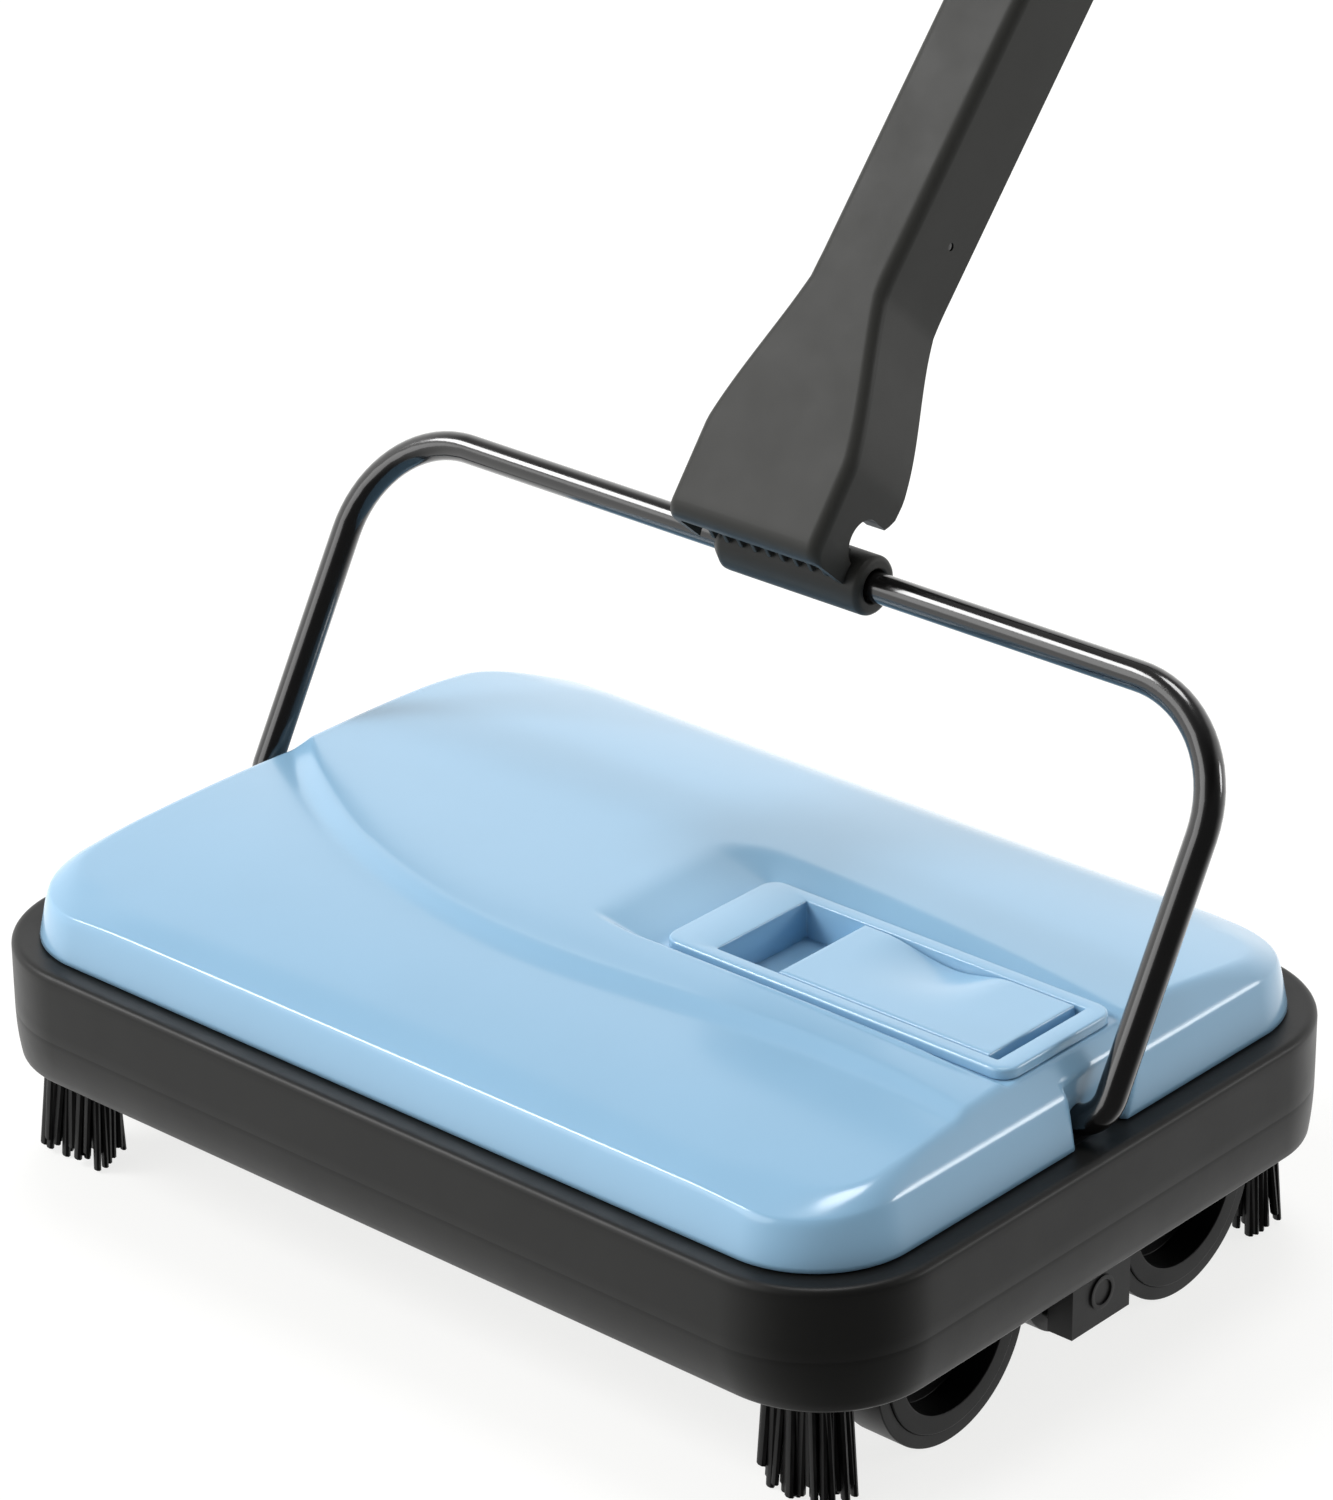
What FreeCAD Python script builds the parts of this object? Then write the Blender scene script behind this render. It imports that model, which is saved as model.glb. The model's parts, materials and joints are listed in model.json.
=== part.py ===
"""Carpet sweeper: a blue cover on a black bumper, a rotary brush driven by four wheels,
two dust pans that drop open from one slide latch, a wire bail and a jointed handle.

Millimetres, +Z up, floor at z = 0.  X runs along the wide side of the body, +Y towards the
user.  Everything is drawn round the middle of the body and moved once, at the end, so that
the origin lies on the floor under the middle of the whole object's box.
"""
import FreeCAD, Part
import math
import os
from FreeCAD import Vector

# ---- driving dimensions -------------------------------------------------------------
BODY_X, BODY_Y, BODY_R = 150.0, 106.8, 36.0      # half length, half depth, corner radius
LEDGE_Z = 64.0                                   # top of the bumper's ledge
BUMPER_BOTTOM = 30.0                             # clearance under the bumper
COVER_X, COVER_Y, COVER_R = 142.2, 99.6, 28.7    # outline of the cover where it meets the ledge
SKIN = 2.5                                       # wall of the moulded shells
DECK_TOP = 60.9
DECK = 2.5
SCREW_R = 1.5
COVER_SCREWS = [(-112.0, -70.0), (-112.0, 68.0), (112.0, -70.0), (112.0, 68.0), (-40.0, -82.0), (-40.0, 80.0)]

AXLE_MID_Y = -1.5                                # brush axis, and the middle of the wheelbase
WHEELBASE_HALF = 46.0
WHEEL_R = 28.2
WHEEL_IN, WHEEL_OUT = 124.0, 138.0               # inner and outer face of a wheel
RIM_R = 24.5                                     # hub under the tyre
AXLE_R = 2.5
RUNNING = 0.06                                   # radial clearance of a running fit
DRUM_R = WHEELBASE_HALF - WHEEL_R - 0.3          # friction drum between the two wheels
BRUSH_Z = WHEEL_R
BRUSH_SHAFT_R = 3.0
BUSH_R = 5.4
BRUSH_CORE_R = 9.0
BRUSH_TIP_R = 26.8
BRUSH_HALF = 111.0

PAN_HALF = 105.0
PAN_HINGE_Y, PAN_HINGE_Z = 90.0, 42.0            # from the axle middle, and from the floor
PAN_PIN_R = 2.0

TUFT_X, TUFT_Y = 124.0, 86.0                     # middle of a corner brush

LATCH_X0, LATCH_X1, LATCH_Y = 21.5, 132.0, 21.7  # outline of the latch plate
LATCH_Z0, LATCH_Z1 = 85.0, 88.0
POCKET_X0, POCKET_X1, POCKET_Y = 36.5, 56.0, 17.3
SLOT_X1 = 126.0
POCKET_FLOOR = 77.5

BAIL_R = 4.0
BAIL_X = 144.5                                   # middle of an arm
BAIL_PIVOT_Z = 68.5
BAIL_LENGTH = 106.6
BAIL_LEAN = 29.8                                 # degrees back from upright
BAIL_BEND, BAIL_FOOT_BEND = 32.0, 8.0
BAIL_PIN_IN = 129.4                              # inner end of the pivot pins
SOCKET_X0, SOCKET_X1 = 128.4, 134.8              # bearing posts of the bail

HANDLE_LEAN = 40.9                               # degrees back from upright
NECK_FRONT, NECK_REAR = 28.7, 1.0                # faces of the box section ahead of the bail bar
NECK_W = 12.3                                    # half width of the box section
NECK_FLARE_W = 25.0                              # half width at the foot
NECK_TOP = 226.0
NECK_WALL = 2.0
NECK_SCREWS = (60.0, 150.0)                      # heights above the bail bar
NECK_PIN_R, NECK_PIN_Y, NECK_PIN_Z = 1.1, -10.7, 88.0
TUBE_R, TUBE_WALL = 9.0, 1.0
TUBE_B = 0.5 * (NECK_FRONT + NECK_REAR)          # tube axis ahead of the bail bar
TUBE_ENDS = [(196.0, 372.0), (372.5, 548.5), (549.0, 725.0)]
GRIP = (655.0, 772.0)
GRIP_R = 13.5
CAP_TOP = 800.0
HANG_HOLE_R = 5.0


# ---- helpers ------------------------------------------------------------------------
def box(x0, x1, y0, y1, z0, z1):
    return Part.makeBox(x1 - x0, y1 - y0, z1 - z0, Vector(x0, y0, z0))


def rod_x(radius, x0, x1, y=0.0, z=0.0):
    return Part.makeCylinder(radius, x1 - x0, Vector(x0, y, z), Vector(1, 0, 0))


def rod_y(radius, y0, y1, x=0.0, z=0.0):
    return Part.makeCylinder(radius, y1 - y0, Vector(x, y0, z), Vector(0, 1, 0))


def rod_z(radius, z0, z1, x=0.0, y=0.0):
    return Part.makeCylinder(radius, z1 - z0, Vector(x, y, z0), Vector(0, 0, 1))


def tube(maker, outer, inner, start, end, *place):
    return maker(outer, start, end, *place).cut(maker(inner, start - 1, end + 1, *place))


def prism_x(points, x0, x1):
    """Polygon of (y, z) points, from x0 to x1."""
    corners = [Vector(x0, y, z) for y, z in points]
    wire = Part.makePolygon(corners + corners[:1])
    return Part.Face(wire).extrude(Vector(x1 - x0, 0, 0))


def prism_y(points, y0, y1):
    """Polygon of (x, z) points, from y0 to y1."""
    corners = [Vector(x, y0, z) for x, z in points]
    wire = Part.makePolygon(corners + corners[:1])
    return Part.Face(wire).extrude(Vector(0, y1 - y0, 0))


def outline(half_x, half_y, radius, z, x=0.0, y=0.0):
    """Rounded rectangle as one closed wire."""
    edges = []
    ends = []
    for quarter in range(4):
        sx = 1 if quarter in (0, 3) else -1
        sy = 1 if quarter in (0, 1) else -1
        centre = Vector(x + sx * (half_x - radius), y + sy * (half_y - radius), z)
        turn = [Vector(math.cos(math.radians(a)), math.sin(math.radians(a)), 0) * radius
                for a in (90 * quarter, 90 * quarter + 45, 90 * quarter + 90)]
        arc = [centre + t for t in turn]
        edges.append(Part.Arc(*arc).toShape())
        ends.append((arc[0], arc[2]))
    sides = [Part.makeLine(ends[i][1], ends[(i + 1) % 4][0]) for i in range(4)]
    ordered = [e for pair in zip(edges, sides) for e in pair]
    return Part.Wire(ordered)


def loft(sections, ruled=True):
    return Part.makeLoft([outline(*s) for s in sections], True, ruled)


def slab(half_x, half_y, radius, z0, z1, x=0.0, y=0.0):
    return loft([(half_x, half_y, radius, z0, x, y), (half_x, half_y, radius, z1, x, y)])


def group(shapes):
    return Part.makeCompound(shapes)


def mirror_x(shape):
    return shape.mirror(Vector(0, 0, 0), Vector(1, 0, 0))


def mirror_axle(shape):
    """Mirror front to back about the brush axis."""
    return shape.mirror(Vector(0, AXLE_MID_Y, 0), Vector(0, 1, 0))


def four_corners(shape):
    """A piece at +X, front; returned for the four corners of the body."""
    return [shape, mirror_x(shape), mirror_axle(shape), mirror_axle(mirror_x(shape))]


# ---- bumper and chassis -------------------------------------------------------------
def bumper():
    outer = loft([(148.4, 103.5, 30.6, BUMPER_BOTTOM), (149.8, 105.9, 34.0, 36.0),
                  (BODY_X, BODY_Y, BODY_R, 46.0), (BODY_X, BODY_Y, BODY_R, 58.0),
                  (149.6, 106.4, 35.6, 62.6), (148.6, 105.4, 34.6, LEDGE_Z)])
    hollow = loft([(145.4, 100.5, 27.6, BUMPER_BOTTOM - 1), (146.8, 103.4, 32.0, 46.0),
                   (146.8, 103.4, 32.0, DECK_TOP + 0.1)])
    mouth = slab(139.5, 97.0, 26.5, DECK_TOP - 1, LEDGE_Z + 1)
    return outer.cut(hollow).cut(mouth)


def chassis():
    """Deck with a rim wall: it carries the brackets, the hinge rods and the cover."""
    rim = slab(144.6, 99.8, 27.0, 34.0, DECK_TOP)
    hollow = slab(142.2, 97.4, 24.6, 33.0, DECK_TOP - DECK)
    lip = slab(139.0, 96.5, 26.0, DECK_TOP, DECK_TOP + 1.6)
    lip_hollow = slab(136.8, 94.3, 23.8, DECK_TOP - 0.1, DECK_TOP + 2.0)
    deck = rim.cut(hollow).fuse(lip.cut(lip_hollow))
    for side in (-1, 1):
        y = AXLE_MID_Y + side * 40.0
        deck = deck.cut(box(78, 108, y - 4, y + 4, DECK_TOP - DECK - 1, DECK_TOP + 1))
    for x, y in COVER_SCREWS:
        deck = deck.cut(rod_z(SCREW_R + 0.1, DECK_TOP - DECK - 1, DECK_TOP + 1, x, y))
    return deck


def screw_posts():
    """Hollow posts under the cover that the screws bite into."""
    return [tube(rod_z, 4.0, SCREW_R, DECK_TOP + 0.1, 82.0, x, y) for x, y in COVER_SCREWS]


def cover_screws():
    under = DECK_TOP - DECK
    screws = []
    for x, y in COVER_SCREWS:
        head = rod_z(3.2, under - 2.2, under, x, y)
        slot = box(x - 2.4, x + 2.4, y - 0.5, y + 0.5, under - 2.3, under - 1.2)
        screws.append(head.cut(slot).fuse(rod_z(SCREW_R, under - 0.1, 74.0, x, y)))
    return group(screws)


def axle_bracket():
    """Hanging plate at the +X end: wheel axles, brush shaft and pan rods go through it."""
    x0, x1 = 116.5, 119.5
    mid, foot = AXLE_MID_Y, 16.5
    plate = prism_x([(mid - 95, 58.3), (mid - 95, 34.0), (mid - 76, 34.0), (mid - 58, foot),
                     (mid + 58, foot), (mid + 76, 34.0), (mid + 95, 34.0), (mid + 95, 58.3)], x0, x1)
    for side in (-1, 1):
        plate = plate.cut(rod_x(AXLE_R, x0 - 1, x1 + 1, mid + side * WHEELBASE_HALF, WHEEL_R))
        plate = plate.cut(rod_x(PAN_PIN_R, x0 - 1, x1 + 1, mid + side * PAN_HINGE_Y, PAN_HINGE_Z))
        stiffener = box(x1, x1 + 2.5, mid + side * 14 - 1, mid + side * 14 + 1, 47.0, 58.3)
        plate = plate.fuse(stiffener)
    return plate.cut(rod_x(5.0, x0 - 1, x1 + 1, mid, BRUSH_Z))


def bearing_block():
    """Block between the wheels at the +X end; its lower half shows below the bumper."""
    mid = AXLE_MID_Y
    block = box(139.6, 142.0, mid - 11.5, mid + 11.5, 15.5, 58.3)
    block = block.fuse(box(142.0, 145.0, mid - 11.5, mid + 11.5, 15.5, 33.6))
    block = block.fuse(box(139.6, 147.2, mid - 11.5, mid + 11.5, 15.5, 29.6))
    boss = tube(rod_x, 4.6, 3.4, 147.2, 147.7, mid, 24.4)
    return block.fuse(boss).cut(rod_x(BUSH_R, 139.0, 144.2, mid, BRUSH_Z))


def bearing_bush():
    return tube(rod_x, BUSH_R, BRUSH_SHAFT_R + RUNNING, 139.6, 144.2, AXLE_MID_Y, BRUSH_Z)


def wheel_axle(side):
    """Stub axle at the +X end with a round head that keeps the wheel on."""
    y = AXLE_MID_Y + side * WHEELBASE_HALF
    shaft = rod_x(AXLE_R, 115.5, 134.6, y, WHEEL_R)
    head = rod_x(4.2, 134.6, 136.0, y, WHEEL_R)
    return shaft.fuse(head)


def wheel_hub(side):
    y = AXLE_MID_Y + side * WHEELBASE_HALF
    rim = tube(rod_x, RIM_R, 19.5, WHEEL_IN, WHEEL_OUT, y, WHEEL_R)
    web = rod_x(19.6, 127.0, 129.4, y, WHEEL_R)
    boss = rod_x(6.4, WHEEL_IN - 0.8, 134.0, y, WHEEL_R)
    ring = tube(rod_x, 12.5, 10.7, 129.4, 131.0, y, WHEEL_R)
    hub = rim.fuse([web, boss, ring])
    for spoke in range(6):
        angle = math.radians(60 * spoke)
        hole = rod_x(2.6, 126.0, 130.4, y + 16.0 * math.cos(angle), WHEEL_R + 16.0 * math.sin(angle))
        hub = hub.cut(hole)
    return hub.cut(rod_x(AXLE_R + RUNNING, WHEEL_IN - 2, 135.0, y, WHEEL_R))


def wheel_tyre(side):
    y = AXLE_MID_Y + side * WHEELBASE_HALF
    tyre = tube(rod_x, WHEEL_R, RIM_R, WHEEL_IN + 0.5, WHEEL_OUT - 0.5, y, WHEEL_R)
    return tyre


# ---- brush roll ---------------------------------------------------------------------
def brush_shaft():
    return rod_x(BRUSH_SHAFT_R, -143.9, 143.9, AXLE_MID_Y, BRUSH_Z)


def brush_core():
    core = rod_x(BRUSH_CORE_R, -BRUSH_HALF - 2, BRUSH_HALF + 2, AXLE_MID_Y, BRUSH_Z)
    return core.cut(rod_x(BRUSH_SHAFT_R, -120, 120, AXLE_MID_Y, BRUSH_Z))


def bristle_strip(start_angle):
    """One row of bristles that winds a quarter turn round the core."""
    stations = 9
    half_thick = 2.4
    wires = []
    for i in range(stations):
        share = i / (stations - 1)
        x = -BRUSH_HALF + 2 * BRUSH_HALF * share
        angle = math.radians(start_angle + 90.0 * share)
        out = Vector(0, math.cos(angle), math.sin(angle))
        across = Vector(0, -math.sin(angle), math.cos(angle))
        centre = Vector(x, AXLE_MID_Y, BRUSH_Z)
        low, high = BRUSH_CORE_R - 0.9, BRUSH_TIP_R - 0.2
        corners = [centre + out * low - across * half_thick, centre + out * high - across * half_thick,
                   centre + out * high + across * half_thick, centre + out * low + across * half_thick]
        wires.append(Part.makePolygon(corners + corners[:1]))
    strip = Part.makeLoft(wires, True, True)
    core = rod_x(BRUSH_CORE_R, -BRUSH_HALF - 3, BRUSH_HALF + 3, AXLE_MID_Y, BRUSH_Z)
    return strip.cut(core)


def brush_drum():
    """Rubber-faced drum at the +X end, rubbing on both wheels."""
    x0, x1 = WHEEL_IN + 0.6, WHEEL_OUT - 0.6
    drum = rod_x(DRUM_R, x0, x1, AXLE_MID_Y, BRUSH_Z)
    recess = tube(rod_x, DRUM_R - 3.5, 6.5, x0 + 3, x1 + 1, AXLE_MID_Y, BRUSH_Z)
    return drum.cut(recess).cut(rod_x(BRUSH_SHAFT_R, x0 - 1, x1 + 1, AXLE_MID_Y, BRUSH_Z))


# ---- dust pans ----------------------------------------------------------------------
def pan_profile():
    """Front pan in section, (y, z): hinge wall, sloped belly, floor and lip."""
    m = AXLE_MID_Y
    outer = [(m - 90.0, 40.0), (m - 88.0, 25.0), (m - 76.0, 13.5), (m - 47.0, 11.0), (m - 29.8, 21.0)]
    inner = [(m - 30.8, 22.8), (m - 47.4, 13.1), (m - 75.2, 15.5), (m - 86.0, 25.9), (m - 88.0, 40.0)]
    return outer, inner


def front_dust_pan():
    outer, inner = pan_profile()
    m = AXLE_MID_Y
    trough = prism_x(outer + inner, -PAN_HALF, PAN_HALF)
    end = outer + [(m - 33.0, 32.0), (m - 60.0, 42.0), (m - 87.0, 44.0)]
    ends = [prism_x(end, s * PAN_HALF - 1, s * PAN_HALF + 1) for s in (-1, 1)]
    pan = trough.fuse(ends)
    barrels = [rod_x(4.0, x - 9, x + 9, m - PAN_HINGE_Y, PAN_HINGE_Z) for x in (-88.0, 0.0, 88.0)]
    tab = prism_x([(m - 44.0, 11.5), (m - 36.0, 16.0), (m - 36.5, 52.0), (m - 43.5, 52.0)], 91.0, 94.0)
    pan = pan.fuse(barrels + [tab])
    return pan.cut(rod_x(PAN_PIN_R + RUNNING, -120, 120, m - PAN_HINGE_Y, PAN_HINGE_Z))


def pan_rods():
    m = AXLE_MID_Y
    return group([rod_x(PAN_PIN_R, -119.5, 119.5, m + s * PAN_HINGE_Y, PAN_HINGE_Z) for s in (-1, 1)])


def pan_lip():
    """Soft rubber blade along the lip of the front pan."""
    m = AXLE_MID_Y
    blade = [(m - 30.8, 22.9), (m - 29.8, 21.1), (m - 28.9, 21.6), (m - 29.6, 25.0), (m - 30.6, 25.0)]
    return prism_x(blade, -PAN_HALF + 2, PAN_HALF - 2)


def pan_springs():
    """Flat leaf springs under the deck that hold the pans shut."""
    leaves = []
    for side in (-1, 1):
        y = AXLE_MID_Y + side * 62.0
        for x in (-60.0, 60.0):
            leaves.append(box(x - 4, x + 4, y - 14, y + 14, 57.6, 58.3))
    return group(leaves)


# ---- corner brushes -----------------------------------------------------------------
def corner_holder():
    """Clip at the +X front corner that holds a tuft of bristles."""
    block = slab(12.0, 8.0, 4.0, 27.5, 33.9, TUFT_X, -TUFT_Y)
    return block.cut(slab(9.5, 5.5, 3.0, 26.0, 31.0, TUFT_X, -TUFT_Y))


def corner_tuft():
    splay = 2.0
    return loft([(12.5, 8.0, 4.5, 0.0, TUFT_X + splay, -TUFT_Y - 1.0),
                 (9.4, 5.4, 3.0, 27.4, TUFT_X, -TUFT_Y), (9.4, 5.4, 3.0, 30.9, TUFT_X, -TUFT_Y)])


# ---- cover and latch ----------------------------------------------------------------
def cover_form(profile, inset):
    """Form of the cover from (step in along X, step in along Y, height over the ledge)."""
    sections = []
    for step_x, step_y, rise in profile:
        step = min(step_x, step_y) + inset
        drop = inset if rise > 1 else 4.0 * (inset > 0)
        sections.append((COVER_X - step_x - inset, COVER_Y - step_y - inset, max(COVER_R - step, 5.0),
                         LEDGE_Z + rise - drop))
    return loft(sections)


REAR_FORM = [(0.0, 0.0, 0.4), (2.6, 2.8, 12.6), (3.9, 9.5, 16.0), (5.8, 14.6, 18.9), (12.5, 29.6, 22.2),
             (55.0, 59.6, 24.7), (100.0, 88.0, 25.4)]
FRONT_FORM = [(0.0, 0.0, 0.4), (2.6, 2.4, 13.0), (4.3, 9.6, 16.5), (6.5, 29.6, 19.6), (11.0, 52.6, 21.4),
              (60.0, 80.0, 22.2)]


def plateau_region():
    """Plan area of the raised rear plateau: its front edge is an arc that runs out straight."""
    arc_r, front_y, turn_x, right_y = 190.0, -44.0, 12.0, -37.0
    centre = Vector(0, front_y + arc_r, 70)

    def on_arc(x):
        return centre + Vector(x, -math.sqrt(arc_r ** 2 - x ** 2), 0)

    edge = Part.Arc(on_arc(-150.0), on_arc(-70.0), on_arc(turn_x)).toShape()
    corners = [on_arc(turn_x), Vector(160, right_y, 70), Vector(160, 120, 70), Vector(-150, 120, 70),
               on_arc(-150.0)]
    rest = [Part.makeLine(p, q) for p, q in zip(corners, corners[1:])]
    return Part.Face(Part.Wire([edge] + rest)).extrude(Vector(0, 0, 30))


def bail_notch():
    """Scallop in the +X end of the cover that lets the bail swing."""
    x0, x1, x2 = 135.4, 139.0, 150.0
    well = rod_x(8.4, x0, x2, 0.0, BAIL_PIVOT_Z)
    bowl = rod_x(11.0, x1, x2, 4.5, BAIL_PIVOT_Z + 1.0)
    sweep = prism_x([(-6.5, 62), (-6.5, 86), (24, 86), (13, 66), (9, 62)], x1 + 0.6, x2)
    return well.fuse([bowl, sweep])


def latch_recess():
    """Bowl round the latch plate: a long ramp on the left, steeper ones front and back."""
    floor = (59.5, 25.0, 6.0, LATCH_Z0, 78.5, 0.5)
    mouth = (74.0, 31.0, 12.0, LATCH_Z0 + 5.0, 75.0, 3.0)
    return loft([floor, mouth])


def top_cover():
    plateau = cover_form(REAR_FORM, 0.0).common(plateau_region())
    cover = cover_form(FRONT_FORM, 0.0).fuse(plateau)
    hollow = cover_form(FRONT_FORM, SKIN)
    cover = cover.cut(hollow).cut(latch_recess())
    cover = cover.cut(box(33.8, 128.2, -20.0, 20.0, 70.0, 92.0))
    for notch in (bail_notch(), mirror_x(bail_notch())):
        cover = cover.cut(notch)
    return cover.fuse([post.common(hollow) for post in screw_posts()])


def latch_bezel():
    mid_x, half_x = 0.5 * (LATCH_X0 + LATCH_X1), 0.5 * (LATCH_X1 - LATCH_X0)
    plate = slab(half_x, LATCH_Y, 5.0, LATCH_Z0, LATCH_Z1, mid_x, 0.0)
    tub = box(POCKET_X0 - 2, SLOT_X1 + 2, -POCKET_Y - 2, POCKET_Y + 2, POCKET_FLOOR - 2, LATCH_Z0)
    body = plate.fuse(tub)
    body = body.cut(box(POCKET_X0, SLOT_X1, -POCKET_Y, POCKET_Y, POCKET_FLOOR, LATCH_Z1 + 1))
    body = body.cut(box(80.0, 106.5, -4.5, 4.5, POCKET_FLOOR - 3, POCKET_FLOOR + 1))
    lug = box(64.0, 66.5, -5.0, 5.0, 65.5, POCKET_FLOOR - 2)
    return body.fuse(lug).cut(rod_x(2.1, 60.0, 70.0, 0.0, 70.0))


def release_slider():
    x0, x1, half_y = POCKET_X1 + 0.3, SLOT_X1 - 3.0, POCKET_Y - 0.5
    bottom = POCKET_FLOOR + 0.4
    slider = box(x0, x1, -half_y, half_y, bottom, LATCH_Z1)
    slider = slider.cut(box(x0 + 2, x1 - 2, -half_y + 2, half_y - 2, bottom - 1, 81.0))
    scoop_r, scoop_x, dip = 51.0, 84.0, 4.4
    scoop = rod_y(scoop_r, -30.0, 30.0, scoop_x, LATCH_Z1 - dip + scoop_r)
    return slider.cut(scoop)


def release_bar():
    """Push bar under the cover: a tongue from the slider and a peg for each pan."""
    tongue = box(98.0, 103.0, -3.6, 3.6, 62.0, 80.9)
    m = AXLE_MID_Y
    arm = box(98.0, 103.0, m - 42.5, m + 42.5, 61.5, 64.5)
    pegs = [box(98.5, 102.5, m + s * 40 - 2.5, m + s * 40 + 2.5, 54.0, 61.6) for s in (-1, 1)]
    guide = rod_x(1.6, 68.0, 98.1, 0.0, 70.0)
    return tongue.fuse([arm, guide] + pegs)


def slider_spring():
    """Coil between the latch plate's lug and the push bar, wound on the guide pin."""
    coil_r, wire_r, pitch, length = 3.2, 0.45, 3.1, 30.0
    helix = Part.makeHelix(pitch, length, coil_r)
    start = Vector(coil_r, 0, 0)
    circle = Part.Wire(Part.makeCircle(wire_r, start, Vector(0, 1, 0)))
    coil = Part.Wire(helix).makePipeShell([circle], True, True)
    coil.rotate(Vector(0, 0, 0), Vector(0, 1, 0), 90)
    coil.translate(Vector(67.2, 0.0, 70.0))
    return coil


# ---- bail ---------------------------------------------------------------------------
def lean(shape, degrees):
    """Lean an upright shape back about the X axis through the origin."""
    shape.rotate(Vector(0, 0, 0), Vector(1, 0, 0), -degrees)
    return shape


def bail_bar_position():
    a = math.radians(BAIL_LEAN)
    return Vector(0, BAIL_LENGTH * math.sin(a), BAIL_PIVOT_Z + BAIL_LENGTH * math.cos(a))


def round_corner(before, corner, after, radius):
    """Tangent points and arc for a right-angled corner."""
    back = (before - corner).normalize()
    ahead = (after - corner).normalize()
    start, end = corner + back * radius, corner + ahead * radius
    middle = corner + (back + ahead) * radius * (1 - math.sqrt(0.5))
    return start, Part.Arc(start, middle, end).toShape(), end


def bail():
    top = BAIL_LENGTH
    points = [Vector(BAIL_PIN_IN, 0, 0), Vector(BAIL_X, 0, 0), Vector(BAIL_X, 0, top),
              Vector(-BAIL_X, 0, top), Vector(-BAIL_X, 0, 0), Vector(-BAIL_PIN_IN, 0, 0)]
    radii = [BAIL_FOOT_BEND, BAIL_BEND, BAIL_BEND, BAIL_FOOT_BEND]
    edges = []
    last = points[0]
    for i, radius in enumerate(radii, start=1):
        start, arc, end = round_corner(points[i - 1], points[i], points[i + 1], radius)
        edges += [Part.makeLine(last, start), arc]
        last = end
    edges.append(Part.makeLine(last, points[-1]))
    path = Part.Wire(edges)
    section = Part.Wire(Part.makeCircle(BAIL_R, points[0], Vector(1, 0, 0)))
    wire = path.makePipeShell([section], True, False)
    lean(wire, BAIL_LEAN)
    wire.translate(Vector(0, 0, BAIL_PIVOT_Z))
    return wire


def bail_socket():
    """Bearing post at the +X end for the bail's pivot pin."""
    post = box(SOCKET_X0, SOCKET_X1, -8.5, 8.5, DECK_TOP, BAIL_PIVOT_Z)
    post = post.fuse(rod_x(7.5, SOCKET_X0, SOCKET_X1, 0.0, BAIL_PIVOT_Z))
    return post.cut(rod_x(6.0, SOCKET_X0 - 1, SOCKET_X1 + 1, 0.0, BAIL_PIVOT_Z))


def bail_bush():
    return tube(rod_x, 6.0, BAIL_R + RUNNING, SOCKET_X0, SOCKET_X1, 0.0, BAIL_PIVOT_Z)


# ---- handle, drawn upright about the bail bar, front towards -Y ------------------------
def neck_front_outline(inset):
    w, f = NECK_W - inset, NECK_FLARE_W - inset
    right = [(f - 0.6, -2.0 - inset), (f, 4.0), (f, 18.0), (f - 0.6, 23.0), (w + 7.0, 41.0), (w + 2.9, 58.0),
             (w + 0.9, 66.0), (w, 74.0), (w, NECK_TOP + inset)]
    return right + [(-x, z) for x, z in reversed(right)]


def neck_side_outline(inset):
    front = NECK_FRONT - inset
    rear = -NECK_REAR + inset
    top = NECK_TOP + inset
    return [(-24.5 + inset, -2.0 - inset), (-front, 70.0), (-front, top), (rear, top), (rear, 62.0),
            (rear + 2.0, 24.0), (rear + 1.6, 15.5), (rear - 2.0, 14.6), (-NECK_REAR - 8.0, -4.0 - inset)]


def neck_front_shell():
    outer = prism_y(neck_front_outline(0.0), -40, 10).common(prism_x(neck_side_outline(0.0), -30, 30))
    cavity_side = [(y + 6.0 * (y > -15), z) for y, z in neck_side_outline(NECK_WALL)]
    cavity = prism_y(neck_front_outline(NECK_WALL), -40, 14).common(prism_x(cavity_side, -30, 30))
    shell = outer.cut(cavity)
    notch = rod_x(6.4, -30, 30, -6.6, 8.2).fuse(box(-30, 30, -7.0, 10.0, 3.5, 14.2))
    shell = shell.cut(notch)
    shell = shell.cut(rod_x(8.4, -30, 30, 0.0, 0.0))
    return shell.cut(rod_x(NECK_PIN_R, -30, 30, NECK_PIN_Y, NECK_PIN_Z))


def neck_pin():
    """Cross pin through the neck; its ends sit just below the side walls."""
    return rod_x(NECK_PIN_R, -NECK_W + 0.3, NECK_W - 0.3, NECK_PIN_Y, NECK_PIN_Z)


def neck_back_cover():
    outline_in = neck_front_outline(NECK_WALL + 0.1)
    cover = prism_y(outline_in, -NECK_REAR - 2.0, -NECK_REAR)
    cover = cover.common(box(-30, 30, -10, 10, 24.0, NECK_TOP))
    for z in NECK_SCREWS:
        cover = cover.cut(rod_y(SCREW_R, -6.0, 2.0, 0.0, z))
    return cover


def neck_screws():
    screws = []
    for z in NECK_SCREWS:
        head = rod_y(2.8, -NECK_REAR, -NECK_REAR + 1.2, 0.0, z)
        slot = box(-2.0, 2.0, -NECK_REAR + 0.7, 2.0, z - 0.4, z + 0.4)
        screws.append(head.cut(slot).fuse(rod_y(SCREW_R, -9.0, -NECK_REAR, 0.0, z)))
    return group(screws)


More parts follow.
